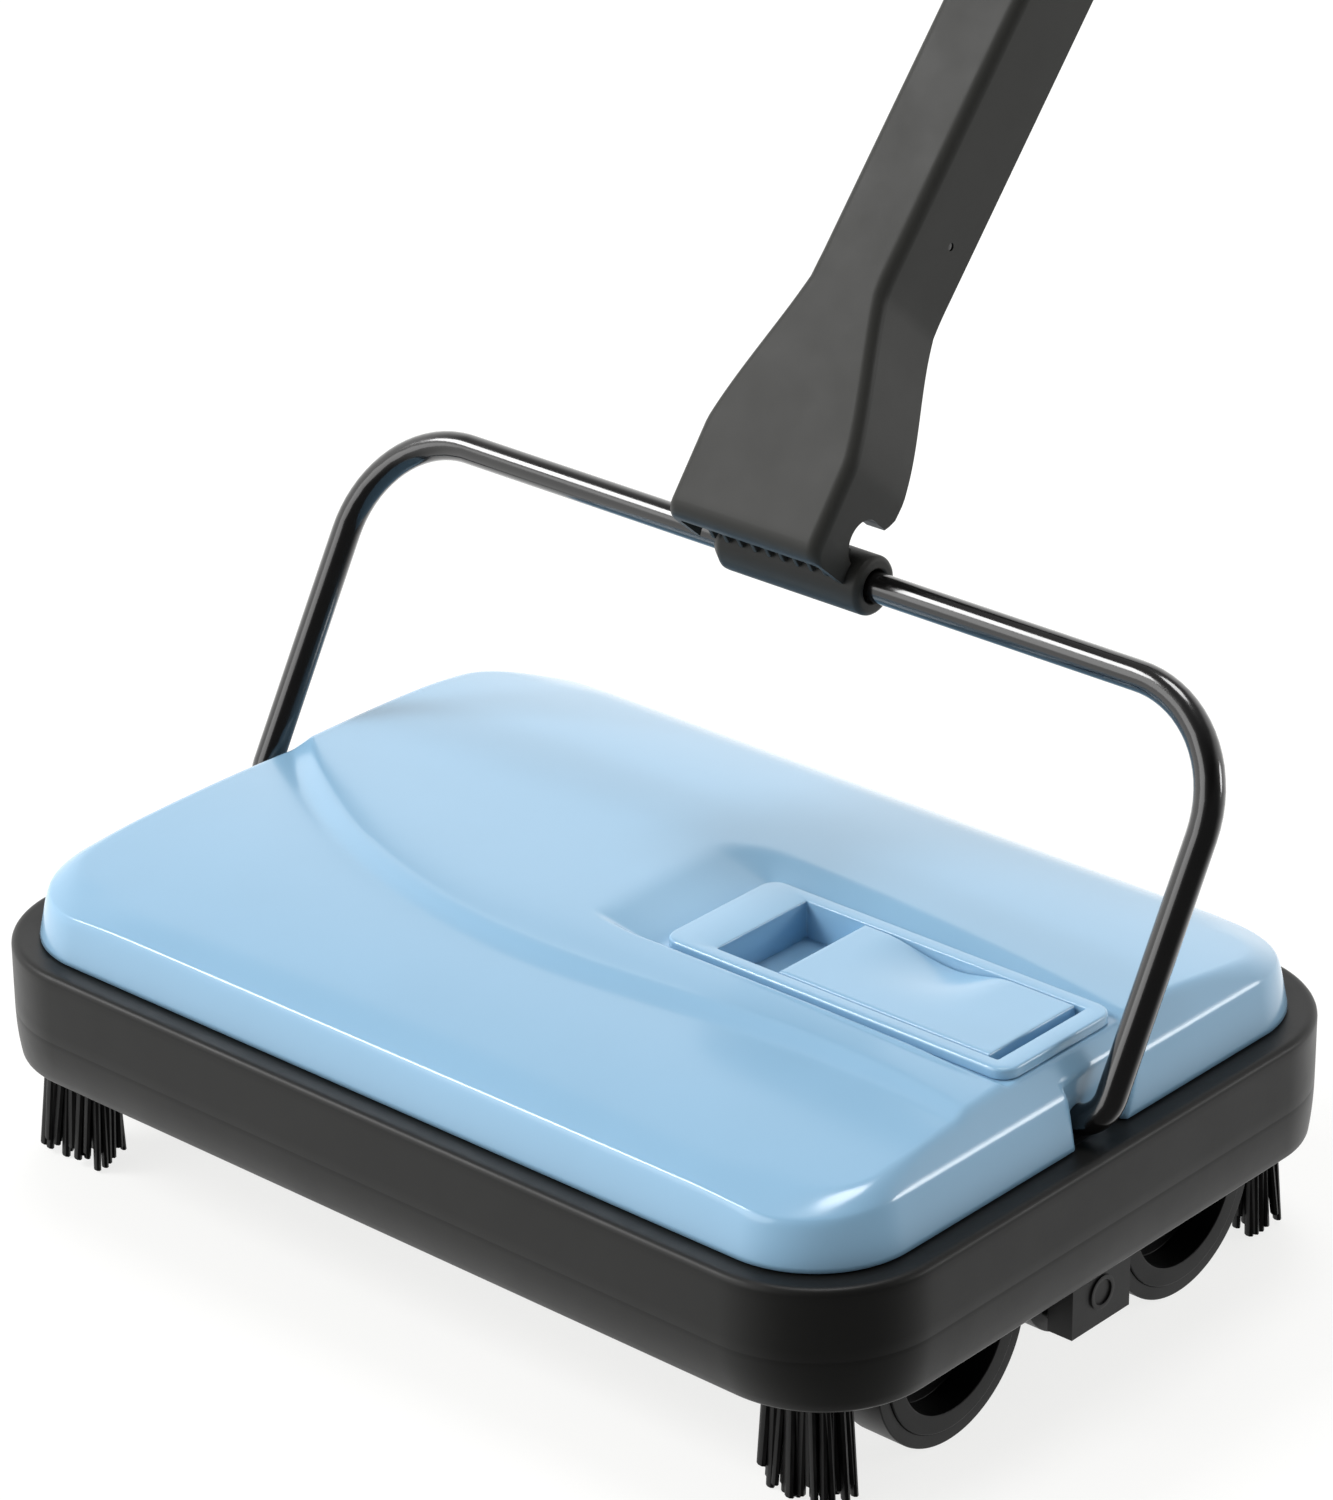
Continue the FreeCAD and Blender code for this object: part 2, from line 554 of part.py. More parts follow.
def bar_collar():
    """Snap collar round the bail bar, ribbed web forward to the neck's front wall."""
    x0, x1 = -17.0, 29.0
    barrel = rod_x(8.0, x0, x1)
    tip = Part.makeCone(8.0, 5.6, 3.5, Vector(x0, 0, 0), Vector(-1, 0, 0))
    collar = barrel.fuse(tip)
    web = box(x0, 22.0, -21.6, -5.0, 3.6, 6.0)
    collar = collar.fuse(web)
    for i in range(7):
        x = x0 + 1.0 + 6.0 * i
        collar = collar.fuse(prism_x([(-21.6, 3.7), (-21.6, 0.4), (-7.0, -3.8), (-5.0, 3.7)], x, x + 1.6))
    collar = collar.cut(rod_x(BAIL_R + RUNNING, -30, 40))
    snap_gap = box(-30, 40, 0.0, 9.0, -1.7, 1.7)
    snap_gap.rotate(Vector(0, 0, 0), Vector(1, 0, 0), -60)
    return collar.cut(snap_gap)


def neck_socket():
    """Insert in the top of the neck that takes the first tube."""
    inner_w = NECK_W - NECK_WALL - 0.1
    body = box(-inner_w, inner_w, -NECK_FRONT + NECK_WALL + 0.1, -NECK_REAR - 2.1, 190.0, NECK_TOP)
    flange = loft([(NECK_W, 0.5 * (NECK_FRONT - NECK_REAR), 3.0, NECK_TOP, 0.0, -TUBE_B),
                   (TUBE_R + 1.8, TUBE_R + 1.8, 8.0, NECK_TOP + 9.0, 0.0, -TUBE_B)])
    socket = body.fuse(flange)
    return socket.cut(rod_z(TUBE_R, TUBE_ENDS[0][0], NECK_TOP + 10.0, 0.0, -TUBE_B))


def handle_tube(index):
    low, high = TUBE_ENDS[index]
    return tube_z(TUBE_R, TUBE_R - TUBE_WALL, low, high)


def tube_z(outer, inner, low, high):
    return rod_z(outer, low, high, 0.0, -TUBE_B).cut(rod_z(inner, low - 1, high + 1, 0.0, -TUBE_B))


def tube_coupler(index):
    """Moulded ferrule over the joint between two tubes."""
    joint = TUBE_ENDS[index][1] + 0.25
    sleeve = tube_z(TUBE_R + 2.0, TUBE_R, joint - 14.0, joint + 14.0)
    for z in (joint - 14.0, joint, joint + 12.0):
        sleeve = sleeve.fuse(tube_z(TUBE_R + 2.8, TUBE_R, z, z + 2.0))
    return sleeve


def handle_grip():
    low, high = GRIP
    grip = loft([(GRIP_R - 2.0, GRIP_R - 2.0, GRIP_R - 2.2, low, 0, -TUBE_B),
                 (GRIP_R, GRIP_R, GRIP_R - 0.2, low + 8, 0, -TUBE_B),
                 (GRIP_R - 1.0, GRIP_R - 1.0, GRIP_R - 1.2, low + 55, 0, -TUBE_B),
                 (GRIP_R + 0.5, GRIP_R + 0.5, GRIP_R + 0.3, high, 0, -TUBE_B)])
    grip = grip.cut(rod_z(TUBE_R, low - 1, TUBE_ENDS[2][1], 0.0, -TUBE_B))
    return grip.cut(rod_z(TUBE_R - TUBE_WALL, low - 1, high + 1, 0.0, -TUBE_B))


def grip_cap():
    """End plug with a flat tab and a hole to hang the sweeper from a hook."""
    low = GRIP[1]
    plug = rod_z(TUBE_R - TUBE_WALL - 0.05, low - 14.0, low + 0.1, 0.0, -TUBE_B)
    cap = rod_z(GRIP_R + 0.4, low, low + 5.0, 0.0, -TUBE_B)
    tab = box(-10.0, 10.0, -TUBE_B - 4.0, -TUBE_B + 4.0, low + 4.0, CAP_TOP - 10.0)
    tab = tab.fuse(rod_y(10.0, -TUBE_B - 4.0, -TUBE_B + 4.0, 0.0, CAP_TOP - 10.0))
    cap = plug.fuse([cap, tab])
    return cap.cut(rod_y(HANG_HOLE_R, -TUBE_B - 6.0, -TUBE_B + 6.0, 0.0, CAP_TOP - 10.0))


def on_handle(shape):
    lean(shape, HANDLE_LEAN)
    shape.translate(bail_bar_position())
    return shape


# ---- all nodes ----------------------------------------------------------------------
def build():
    nodes = {
        "bumper": bumper(),
        "chassis": chassis(),
        "cover_screws": cover_screws(),
        "top_cover": top_cover(),
        "latch_bezel": latch_bezel(),
        "slider_spring": slider_spring(),
        "pan_rods": pan_rods(),
        "pan_springs": pan_springs(),
        "release_slider": release_slider(),
        "release_bar": release_bar(),
        "front_dust_pan": front_dust_pan(),
        "rear_dust_pan": mirror_axle(front_dust_pan()),
        "front_pan_lip": pan_lip(),
        "rear_pan_lip": mirror_axle(pan_lip()),
        "brush_shaft": brush_shaft(),
        "brush_core": brush_core(),
        "brush_bristles": group([bristle_strip(a) for a in (0, 90, 180, 270)]),
        "bail": bail(),
        "corner_holders": group(four_corners(corner_holder())),
        "wheel_axles": group([piece for side in (-1, 1)
                              for piece in (wheel_axle(side), mirror_x(wheel_axle(side)))]),
    }
    for end, place in (("right", lambda s: s), ("left", mirror_x)):
        nodes["axle_bracket_" + end] = place(axle_bracket())
        nodes["bearing_block_" + end] = place(bearing_block())
        nodes["bearing_bush_" + end] = place(bearing_bush())
        nodes["brush_drum_" + end] = place(brush_drum())
        nodes["bail_socket_" + end] = place(bail_socket())
        nodes["bail_bush_" + end] = place(bail_bush())
        for row, side in (("front", -1), ("rear", 1)):
            nodes["wheel_hub_%s_%s" % (row, end)] = place(wheel_hub(side))
            nodes["wheel_tyre_%s_%s" % (row, end)] = place(wheel_tyre(side))
    corners = ("front_right", "front_left", "rear_right", "rear_left")
    for name, tuft in zip(corners, four_corners(corner_tuft())):
        nodes["corner_tuft_" + name] = tuft
    handle = {
        "neck_front_shell": neck_front_shell(),
        "neck_back_cover": neck_back_cover(),
        "neck_pin": neck_pin(),
        "neck_screws": neck_screws(),
        "bar_collar": bar_collar(),
        "neck_socket": neck_socket(),
        "tube_coupler_lower": tube_coupler(0),
        "tube_coupler_upper": tube_coupler(1),
        "handle_grip": handle_grip(),
        "grip_cap": grip_cap(),
    }
    for index, name in enumerate(("lower", "middle", "upper")):
        handle["handle_tube_" + name] = handle_tube(index)
    for name, shape in handle.items():
        nodes[name] = on_handle(shape)
    return nodes


def main():
    nodes = build()
    whole = group(list(nodes.values())).BoundBox
    shift = -0.5 * (whole.YMin + whole.YMax)
    os.makedirs("parts", exist_ok=True)
    for name, shape in nodes.items():
        shape.translate(Vector(0, shift, 0))
        shape.exportStep("parts/%s.step" % name)
        if not shape.isValid() or any(not s.isValid() for s in shape.Solids) or not shape.Solids:
            print("check", name, shape.isValid(), len(shape.Solids))
    print("nodes", len(nodes), "shift_y %.3f" % shift)
    print("box x %.2f %.2f y %.2f %.2f z %.2f %.2f" % (
        whole.XMin, whole.XMax, whole.YMin + shift, whole.YMax + shift, whole.ZMin, whole.ZMax))
    bar = bail_bar_position()
    print("bail bar y %.3f z %.3f" % (bar.y + shift, bar.z))


main()
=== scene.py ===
"""Looks of the carpet sweeper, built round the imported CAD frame.

Lengths in the code are millimetres, drawn round the middle of the body.  The CAD frame is in metres, with
its origin under the middle of the whole object, and place() turns one into the other.
"""
import json
import math

import bmesh
import bpy
import numpy as np
from mathutils import Matrix, Vector


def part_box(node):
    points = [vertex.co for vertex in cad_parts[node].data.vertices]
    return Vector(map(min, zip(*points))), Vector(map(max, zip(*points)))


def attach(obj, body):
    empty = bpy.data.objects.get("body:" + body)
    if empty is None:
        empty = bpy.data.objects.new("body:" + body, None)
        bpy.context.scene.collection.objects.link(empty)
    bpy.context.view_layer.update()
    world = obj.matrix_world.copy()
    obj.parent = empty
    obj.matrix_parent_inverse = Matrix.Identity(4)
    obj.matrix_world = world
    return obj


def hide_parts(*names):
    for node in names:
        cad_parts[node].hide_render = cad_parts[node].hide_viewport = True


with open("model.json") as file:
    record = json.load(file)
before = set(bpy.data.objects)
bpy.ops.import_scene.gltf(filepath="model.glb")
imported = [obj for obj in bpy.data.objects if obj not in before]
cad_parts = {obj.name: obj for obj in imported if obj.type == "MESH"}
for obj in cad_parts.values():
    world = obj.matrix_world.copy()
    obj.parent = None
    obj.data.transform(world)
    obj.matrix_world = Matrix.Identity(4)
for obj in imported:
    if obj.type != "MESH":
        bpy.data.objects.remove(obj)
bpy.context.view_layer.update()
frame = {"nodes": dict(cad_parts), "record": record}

MM = 0.001
nodes = frame["nodes"]
record = frame["record"]
scene = bpy.context.scene


# ---- places read from the frame -------------------------------------------------------------
def box_mm(node):
    """Box of a CAD node in millimetres round the middle of the body: its low and high corners."""
    lo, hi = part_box(node)
    shift = Vector((0, BODY_MID_Y, 0))
    return (lo - shift) / MM, (hi - shift) / MM


bumper_lo, bumper_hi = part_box("bumper")
BODY_MID_Y = 0.5 * (bumper_lo.y + bumper_hi.y)   # metres
BODY_X = bumper_hi.x / MM
BODY_Y = 0.5 * (bumper_hi.y - bumper_lo.y) / MM
BODY_R = 36.0                                    # plan radius of the bumper's corners
LEDGE = bumper_hi.z / MM
BUMPER_FOOT = bumper_lo.z / MM

cover_hi = box_mm("top_cover")[1]
COVER_X, COVER_Y = cover_hi.x, cover_hi.y
COVER_R = 28.7                                   # plan radius of the cover's corners
PLATE_LO, PLATE_HI = box_mm("latch_bezel")
shaft_lo, shaft_hi = box_mm("brush_shaft")
AXLE_Y, AXLE_Z = 0.5 * (shaft_lo.y + shaft_hi.y), 0.5 * (shaft_lo.z + shaft_hi.z)
JOINTS = {joint["name"]: joint for joint in record["behaviour"]["joints"]}
BAIL_BAR = Vector(JOINTS["handle_pivot"]["pos_m"])
HANDLE_LEAN = math.radians(40.9)                 # handle's lean back from upright
SLOT_OF = {part["node"]: part["material_slot"] for part in record["subparts"]}


def place(points):
    """Millimetres round the body to metres in the row frame."""
    out = np.asarray(points, float) * MM
    out[..., 1] += BODY_MID_Y
    return out


def place_on_handle(points):
    """Millimetres in the upright handle's frame, from the bail bar, to metres in the row frame."""
    out = np.asarray(points, float) * MM
    y, z = out[..., 1].copy(), out[..., 2].copy()
    out[..., 1] = y * math.cos(HANDLE_LEAN) + z * math.sin(HANDLE_LEAN) + BAIL_BAR.y
    out[..., 2] = z * math.cos(HANDLE_LEAN) - y * math.sin(HANDLE_LEAN) + BAIL_BAR.z
    return out


# ---- materials ------------------------------------------------------------------------------
class Nodes:
    """Small wrapper that makes and links shader nodes.  Noise scales are in waves per metre."""

    def __init__(self, material):
        material.use_nodes = True
        self.tree = material.node_tree
        self.shader = self.tree.nodes["Principled BSDF"]
        self.coords = self.add("ShaderNodeTexCoord").outputs["Object"]

    def add(self, kind, **inputs):
        node = self.tree.nodes.new(kind)
        for name, value in inputs.items():
            self.set(node, name, value)
        return node

    def set(self, node, name, value):
        socket = node.inputs[name.replace("_", " ")]
        if isinstance(value, bpy.types.NodeSocket):
            self.tree.links.new(value, socket)
        else:
            socket.default_value = value

    def noise(self, scale, detail=3.0, roughness=0.55, stretch=None):
        source = self.coords
        if stretch:
            mapping = self.add("ShaderNodeMapping", Vector=self.coords)
            mapping.inputs["Scale"].default_value = stretch
            source = mapping.outputs["Vector"]
        node = self.add("ShaderNodeTexNoise", Vector=source, Scale=scale, Detail=detail, Roughness=roughness)
        return node.outputs["Fac"]

    def remap(self, value, low, high, start=0.3, end=0.7):
        node = self.add("ShaderNodeMapRange", Value=value)
        node.inputs["From Min"].default_value = start
        node.inputs["From Max"].default_value = end
        node.inputs["To Min"].default_value = low
        node.inputs["To Max"].default_value = high
        return node.outputs["Result"]

    def product(self, first, second):
        node = self.tree.nodes.new("ShaderNodeMath")
        node.operation = "MULTIPLY"
        self.tree.links.new(first, node.inputs[0])
        self.tree.links.new(second, node.inputs[1])
        return node.outputs[0]

    def mix(self, factor, first, second):
        node = self.tree.nodes.new("ShaderNodeMix")
        node.data_type = "RGBA"
        for index, value in ((0, factor), (6, first), (7, second)):
            if isinstance(value, bpy.types.NodeSocket):
                self.tree.links.new(value, node.inputs[index])
            else:
                node.inputs[index].default_value = value
        return node.outputs[2]

    def bump(self, height, strength, distance, under=None):
        node = self.add("ShaderNodeBump", Height=height, Strength=strength, Distance=distance)
        if under is not None:
            self.tree.links.new(under, node.inputs["Normal"])
        return node.outputs["Normal"]


def linear(red, green, blue):
    """sRGB bytes to a linear colour."""
    def channel(value):
        value /= 255.0
        return value / 12.92 if value <= 0.04045 else ((value + 0.055) / 1.055) ** 2.4
    return (channel(red), channel(green), channel(blue), 1.0)


def shaded(colour, share):
    """A colour made lighter (share above 1) or darker."""
    return tuple(min(1.0, c * share) for c in colour[:3]) + (1.0,)


def moulded(name, colour, roughness, grain, grain_size, mottle, coat=0.0, scuff=0.0, waviness=0.0, sheen=0.0,
            specular=0.5):
    """Moulded plastic or rubber: faint mottling, surface grain, uneven gloss and paler worn edges.

    grain and waviness are depths and grain_size a spacing, in millimetres.
    """
    coat_roughness, worn_share = 0.13, 2.2
    material = bpy.data.materials.new(name)
    n = Nodes(material)
    cloud = n.remap(n.noise(28.0, 4.0), 0.0, 1.0)
    tone = n.mix(cloud, shaded(colour, 1.0 - mottle), shaded(colour, 1.0 + mottle))
    if scuff:
        geometry = n.add("ShaderNodeNewGeometry")
        edge = n.remap(geometry.outputs["Pointiness"], 0.0, 1.0, 0.515, 0.60)
        patches = n.remap(n.noise(190.0, 5.0), 0.0, scuff, 0.42, 0.66)
        tone = n.mix(n.product(edge, patches), tone, shaded(colour, worn_share))
    n.set(n.shader, "Base Color", tone)
    smudge = n.remap(n.noise(55.0, 5.0, 0.6), roughness * 0.93, min(1.0, roughness * 1.08))
    n.set(n.shader, "Roughness", smudge)
    n.shader.inputs["Coat Weight"].default_value = coat
    n.shader.inputs["Coat Roughness"].default_value = coat_roughness
    n.shader.inputs["Specular IOR Level"].default_value = specular
    n.shader.inputs["Sheen Weight"].default_value = sheen
    waves = n.bump(n.noise(22.0, 2.0, 0.4), 0.35, waviness * MM) if waviness else None
    fine = n.noise(1.0 / (grain_size * MM), 3.0, 0.6)
    n.set(n.shader, "Normal", n.bump(fine, 0.55, grain * MM, waves))
    return material


def metal(name, colour, roughness, brushed):
    """Bare metal with streaks along X; brushed is their depth in millimetres."""
    material = bpy.data.materials.new(name)
    n = Nodes(material)
    streak = n.noise(220.0, 3.0, 0.6, (0.05, 1.0, 1.0))
    n.set(n.shader, "Base Color", n.mix(n.remap(streak, 0.0, 1.0), shaded(colour, 0.86), colour))
    n.set(n.shader, "Roughness", n.remap(streak, roughness * 0.8, roughness * 1.3))
    n.shader.inputs["Metallic"].default_value = 1.0
    n.set(n.shader, "Normal", n.bump(streak, 0.3, brushed * MM))
    return material


def painted_wire(name):
    """Gloss black stove paint over steel wire, with the slight waviness of a dipped coat."""
    material = bpy.data.materials.new(name)
    n = Nodes(material)
    cloud = n.remap(n.noise(60.0, 3.0), 0.0, 1.0)
    n.set(n.shader, "Base Color", n.mix(cloud, linear(7, 7, 8), linear(13, 12, 12)))
    n.set(n.shader, "Roughness", n.remap(n.noise(90.0, 4.0), 0.14, 0.22))
    n.shader.inputs["Coat Weight"].default_value = 0.6
    n.shader.inputs["Coat Roughness"].default_value = 0.08
    wavy = n.bump(n.noise(120.0, 2.0, 0.4), 0.25, 0.06 * MM)
    n.set(n.shader, "Normal", n.bump(n.noise(2600.0, 2.0), 0.12, 0.01 * MM, wavy))
    return material


def bristle(name, dark, pale):
    """Nylon bristle: streaks along the strand and a soft gloss."""
    material = bpy.data.materials.new(name)
    n = Nodes(material)
    streak = n.noise(900.0, 3.0, 0.6, (1.0, 1.0, 0.12))
    n.set(n.shader, "Base Color", n.mix(n.remap(streak, 0.0, 1.0), dark, pale))
    n.set(n.shader, "Roughness", n.remap(streak, 0.34, 0.52))
    n.shader.inputs["Specular IOR Level"].default_value = 0.12
    n.set(n.shader, "Normal", n.bump(streak, 0.3, 0.08 * MM))
    return material


BLUE = (0.258, 0.455, 0.640, 1.0)
STEEL = (0.60, 0.60, 0.60, 1.0)
MATERIALS = {
    "cover_blue": moulded("blue_abs", BLUE, 0.20, grain=0.003, grain_size=0.9, mottle=0.012, coat=0.35,
                          waviness=0.08),
    "bumper_black": moulded("bumper_satin_black", linear(19, 19, 18), 0.42, grain=0.02, grain_size=0.55,
                            mottle=0.12, scuff=0.4, waviness=0.20, specular=0.26),
    "chassis_black": moulded("chassis_black", linear(18, 18, 18), 0.48, grain=0.02, grain_size=0.7,
                             mottle=0.10, scuff=0.2, specular=0.28),
    "pan_black": moulded("pan_black", linear(20, 20, 21), 0.42, grain=0.02, grain_size=0.7, mottle=0.10),
    "neck_grey": moulded("neck_dark_grey", linear(48, 48, 46), 0.46, grain=0.012, grain_size=0.6,
                         mottle=0.04, scuff=0.25, waviness=0.05, specular=0.18),
    "wheel_black": moulded("wheel_black", linear(13, 13, 13), 0.46, grain=0.015, grain_size=0.7,
                           mottle=0.08, scuff=0.3, specular=0.18),
    "tyre_black": moulded("tyre_rubber", linear(16, 16, 16), 0.55, grain=0.03, grain_size=0.6,
                          mottle=0.12, sheen=0.05, specular=0.25),
    "soft_rubber": moulded("soft_rubber", linear(32, 32, 33), 0.66, grain=0.015, grain_size=0.8,
                           mottle=0.10, sheen=0.2),
    "brush_core": moulded("brush_core_plastic", linear(34, 34, 36), 0.45, grain=0.02, grain_size=0.6,
                          mottle=0.08),
    "tube_black": moulded("tube_powder_coat", linear(24, 24, 25), 0.38, grain=0.006, grain_size=0.7,
                          mottle=0.06, scuff=0.2),
    "nylon": moulded("nylon_natural", linear(214, 211, 200), 0.38, grain=0.01, grain_size=0.5,
                     mottle=0.03),
    "bail_black": painted_wire("bail_black_paint"),
    "bristle_black": bristle("bristle_black", linear(4, 4, 4), linear(17, 17, 17)),
    "steel": metal("bright_steel", STEEL, 0.28, brushed=0.01),
}


# ---- edges and carried-over CAD nodes -------------------------------------------------------
def soften(piece, width, angle, segments=2):
    """Round the edges that turn by more than an angle in degrees; width is in millimetres."""
    bevel = piece.modifiers.new("edge", "BEVEL")
    bevel.width = width * MM
    bevel.segments = segments
    bevel.limit_method = "ANGLE"
    bevel.angle_limit = math.radians(angle)
    piece.modifiers.new("flat_faces", "WEIGHTED_NORMAL").keep_sharp = False


def dress(node, slot):
    """Material, smooth shading and rounded edges for a CAD node that stays."""
    part = nodes[node]
    part.data.materials.clear()
    part.data.materials.append(MATERIALS[slot])
    part.data.shade_smooth()
    part.modifiers.new("weld", "WELD").merge_threshold = 0.001 * MM
    soften(part, 0.35, 32.0, 3)


# ---- mesh helpers ---------------------------------------------------------------------------
def new_mesh(name, points, faces, mapper):
    """Mesh from millimetre points, with its faces turned outwards."""
    mesh = bpy.data.meshes.new(name)
    mesh.from_pydata(mapper(points).tolist(), [], [list(map(int, f)) for f in faces])
    mesh.validate()
    work = bmesh.new()
    work.from_mesh(mesh)
    bmesh.ops.recalc_face_normals(work, faces=work.faces)
    work.to_mesh(mesh)
    work.free()
    return mesh


def mesh_piece(name, points, faces, slot, body, smooth_angle=None, mapper=place):
    """A new piece from millimetre points; it rides on a body and takes a material slot."""
    mesh = new_mesh(name, points, faces, mapper)
    mesh.materials.append(MATERIALS[slot])
    piece = bpy.data.objects.new(name, mesh)
    scene.collection.objects.link(piece)
    mesh.shade_smooth()
    if smooth_angle is not None:
        mesh.set_sharp_from_angle(angle=math.radians(smooth_angle))
    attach(piece, body)
    return piece


def graded(start, end, step):
    """Evenly spaced values from start to end, about a step apart."""
    return list(np.linspace(start, end, max(2, int(round((end - start) / step)) + 1)))


def rounded_rectangle(half_x, half_y, radius, arc_steps, side_steps):
    """Points of a rounded rectangle, counter-clockwise from the +Y end of its +X side."""
    points = []
    for quarter in range(4):
        sx = 1 if quarter in (0, 3) else -1
        sy = 1 if quarter in (0, 1) else -1
        centre = np.array([sx * (half_x - radius), sy * (half_y - radius)])
        for step in range(arc_steps):
            angle = math.radians(90.0 * (quarter + step / arc_steps))
            points.append(centre + radius * np.array([math.cos(angle), math.sin(angle)]))
        turn = math.radians(90.0 * (quarter + 1))
        start = centre + radius * np.array([math.cos(turn), math.sin(turn)])
        along = 2 * (half_x - radius) if quarter in (0, 2) else 2 * (half_y - radius)
        direction = np.array([-math.sin(turn), math.cos(turn)])
        for step in range(side_steps):
            points.append(start + direction * along * step / side_steps)
    return np.array(points)


def skin(rings, closed_loop):
    """Quads between rings of equal length; closed_loop also joins the last ring to the first."""
    count = len(rings[0])
    faces = []
    last = len(rings) if closed_loop else len(rings) - 1
    for i in range(last):
        j = (i + 1) % len(rings)
        for k in range(count):
            m = (k + 1) % count
            faces.append((i * count + k, i * count + m, j * count + m, j * count + k))
    return np.concatenate(rings), faces


def grid_cells(shape):
    """Numbers of a grid's points, and the four corner numbers of each of its cells."""
    index = np.arange(shape[0] * shape[1]).reshape(shape)
    return index, np.stack([index[:-1, :-1], index[1:, :-1], index[1:, 1:], index[:-1, 1:]], axis=-1)


# ---- bumper ---------------------------------------------------------------------------------
def bumper():
    """Barrel-shaped bumper with a rounded rim, a flat ledge and a fine mould line."""
    waist, foot = 46.0, BUMPER_FOOT
    lean_x, lean_y, lean_r, lean_curve = 1.6, 3.3, 5.4, 2.2      # how the outline shrinks to the foot
    wall, foot_r, rim_r = 3.0, 1.0, 2.0
    line_z, line_depth = 44.6, 0.04
    dip, ledge_end, ledge_under = 0.12, 9.6, LEDGE - 3.1
    opening = (10.5, 9.8, 26.5)                                  # insets and corner radius inside the ledge
    inside = (wall + 0.2, wall + 0.4, 32.0)
    rings = []

    def ring(inset_x, inset_y, radius, z):
        outline = rounded_rectangle(BODY_X - inset_x, BODY_Y - inset_y, radius, 28, 30)
        rings.append(np.column_stack([outline, np.full(len(outline), z)]))

    def outer(z, extra=0.0):
        share = max(0.0, (waist - z) / (waist - foot)) ** lean_curve
        ring(lean_x * share + extra, lean_y * share + extra, BODY_R - lean_r * share - extra, z)

    for degrees in (90, 60, 30, 0):
        turn = math.radians(degrees)
        outer(foot + foot_r * (1 - math.sin(turn)), foot_r * (1 - math.cos(turn)))
    for z in graded(33.0, 43.0, 2.5):
        outer(z)
    for rise, groove in ((-0.4, 0.0), (-0.15, line_depth), (0.15, line_depth), (0.4, 0.0)):
        outer(line_z + rise, groove)
    for z in graded(48.0, 60.0, 4.0):
        outer(z)
    for degrees in range(0, 91, 15):
        turn = math.radians(degrees)
        outer(LEDGE - rim_r * (1 - math.sin(turn)), rim_r * (1 - math.cos(turn)))
    outer(LEDGE, rim_r + 0.8)
    outer(LEDGE - dip, rim_r + 2.4)
    outer(LEDGE - dip, ledge_end)
    ring(*opening, LEDGE - 0.5)
    ring(*opening, ledge_under)
    ring(*inside, ledge_under)
    ring(*inside, waist)
    ring(wall + lean_x, wall + lean_y, BODY_R - lean_r - wall, foot + 0.4)
    points, faces = skin(rings, True)
    piece = mesh_piece("bumper_shell", points, faces, "bumper_black", "body", 40)
    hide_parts("bumper")


# ---- cover ----------------------------------------------------------------------------------
# Heights on the cover are from the ledge.
WALL_SLOPE, WALL_FOOT = 5.0, 0.4                 # the side wall's rise per millimetre of inset, and its foot
CREASE, CREASE_SOFT = 2.5, 4.0                   # inset of the crease above the side wall, and its rounding
END_CREST, FRONT_CREST, REAR_CREST = 13.2, 13.0, 12.4            # height of the crease
END_SLOPE, FRONT_SLOPE, REAR_SLOPE = 1.17, 0.52, 0.56            # rise of the shoulder behind it
PLATEAU, DECK = 25.0, 21.9
DECK_TOP_Y, DECK_BOW = -30.0, 0.00145            # highest line of the front deck, and its curve
BAND_ARC_R, BAND_ARC_Y, BAND_HALF = 193.0, 146.0, 3.2           # styling band between the two
RECESS_FLOOR = PLATE_HI.z - LEDGE - 3.05
RECESS_RISE, LEFT_RUN, BACK_RUN, FRONT_RUN = 4.0, 20.0, 11.0, 3.6        # steepness of its sides
NOTCH_X = 136.9
NOTCH_FRONT, NOTCH_REAR_LOW, NOTCH_REAR_SLOPE = -6.4, 12.5, 0.56
HOLE_X0, HOLE_X1, HOLE_Y = 33.8, 128.2, 20.0     # opening under the latch plate


def soft_min(a, b, k):
    """Lower of two surfaces, with the edge between them rounded over a height k."""
    h = np.clip(0.5 + 0.5 * (b - a) / k, 0.0, 1.0)
    return b * (1 - h) + a * h - k * h * (1 - h)


def soft_step(t):
    """Smooth step from 0 at t = 0 to 1 at t = 1."""
    t = np.clip(t, 0.0, 1.0)
    return t * t * (3 - 2 * t)


def ramp(t, ease=0.18):
    """Straight ramp from 0 to 1 with short rounded ends."""
    t = np.clip(t, 0.0, 1.0)
    low = np.where(t < ease, t * t / (2 * ease), t - ease / 2)
    whole = np.where(t > 1 - ease, t - ease / 2 - (t - 1 + ease) ** 2 / (2 * ease), low)
    return whole / (1 - ease)


def droop(distance, run, drop):
    """Fall that starts flat at distance 0 and reaches drop after a run."""
    return drop * (np.clip(distance, 0, None) / run) ** 2


def ridge(distance, middle, height, width):
    """Low rounded ridge across a distance."""
    return height * np.exp(-((distance - middle) / width) ** 2)


def band_distance(x, y):
    """Signed distance from the middle of the styling band, positive towards the rear."""
    arc = BAND_ARC_R - np.hypot(x, y - BAND_ARC_Y)
    run = soft_step(x / 95.0)
    middle = BAND_ARC_Y - BAND_ARC_R + 8.5 * run - 2.0 * soft_step((x - 108.0) / 34.0)
    return np.where(x < 0, arc, y - middle)


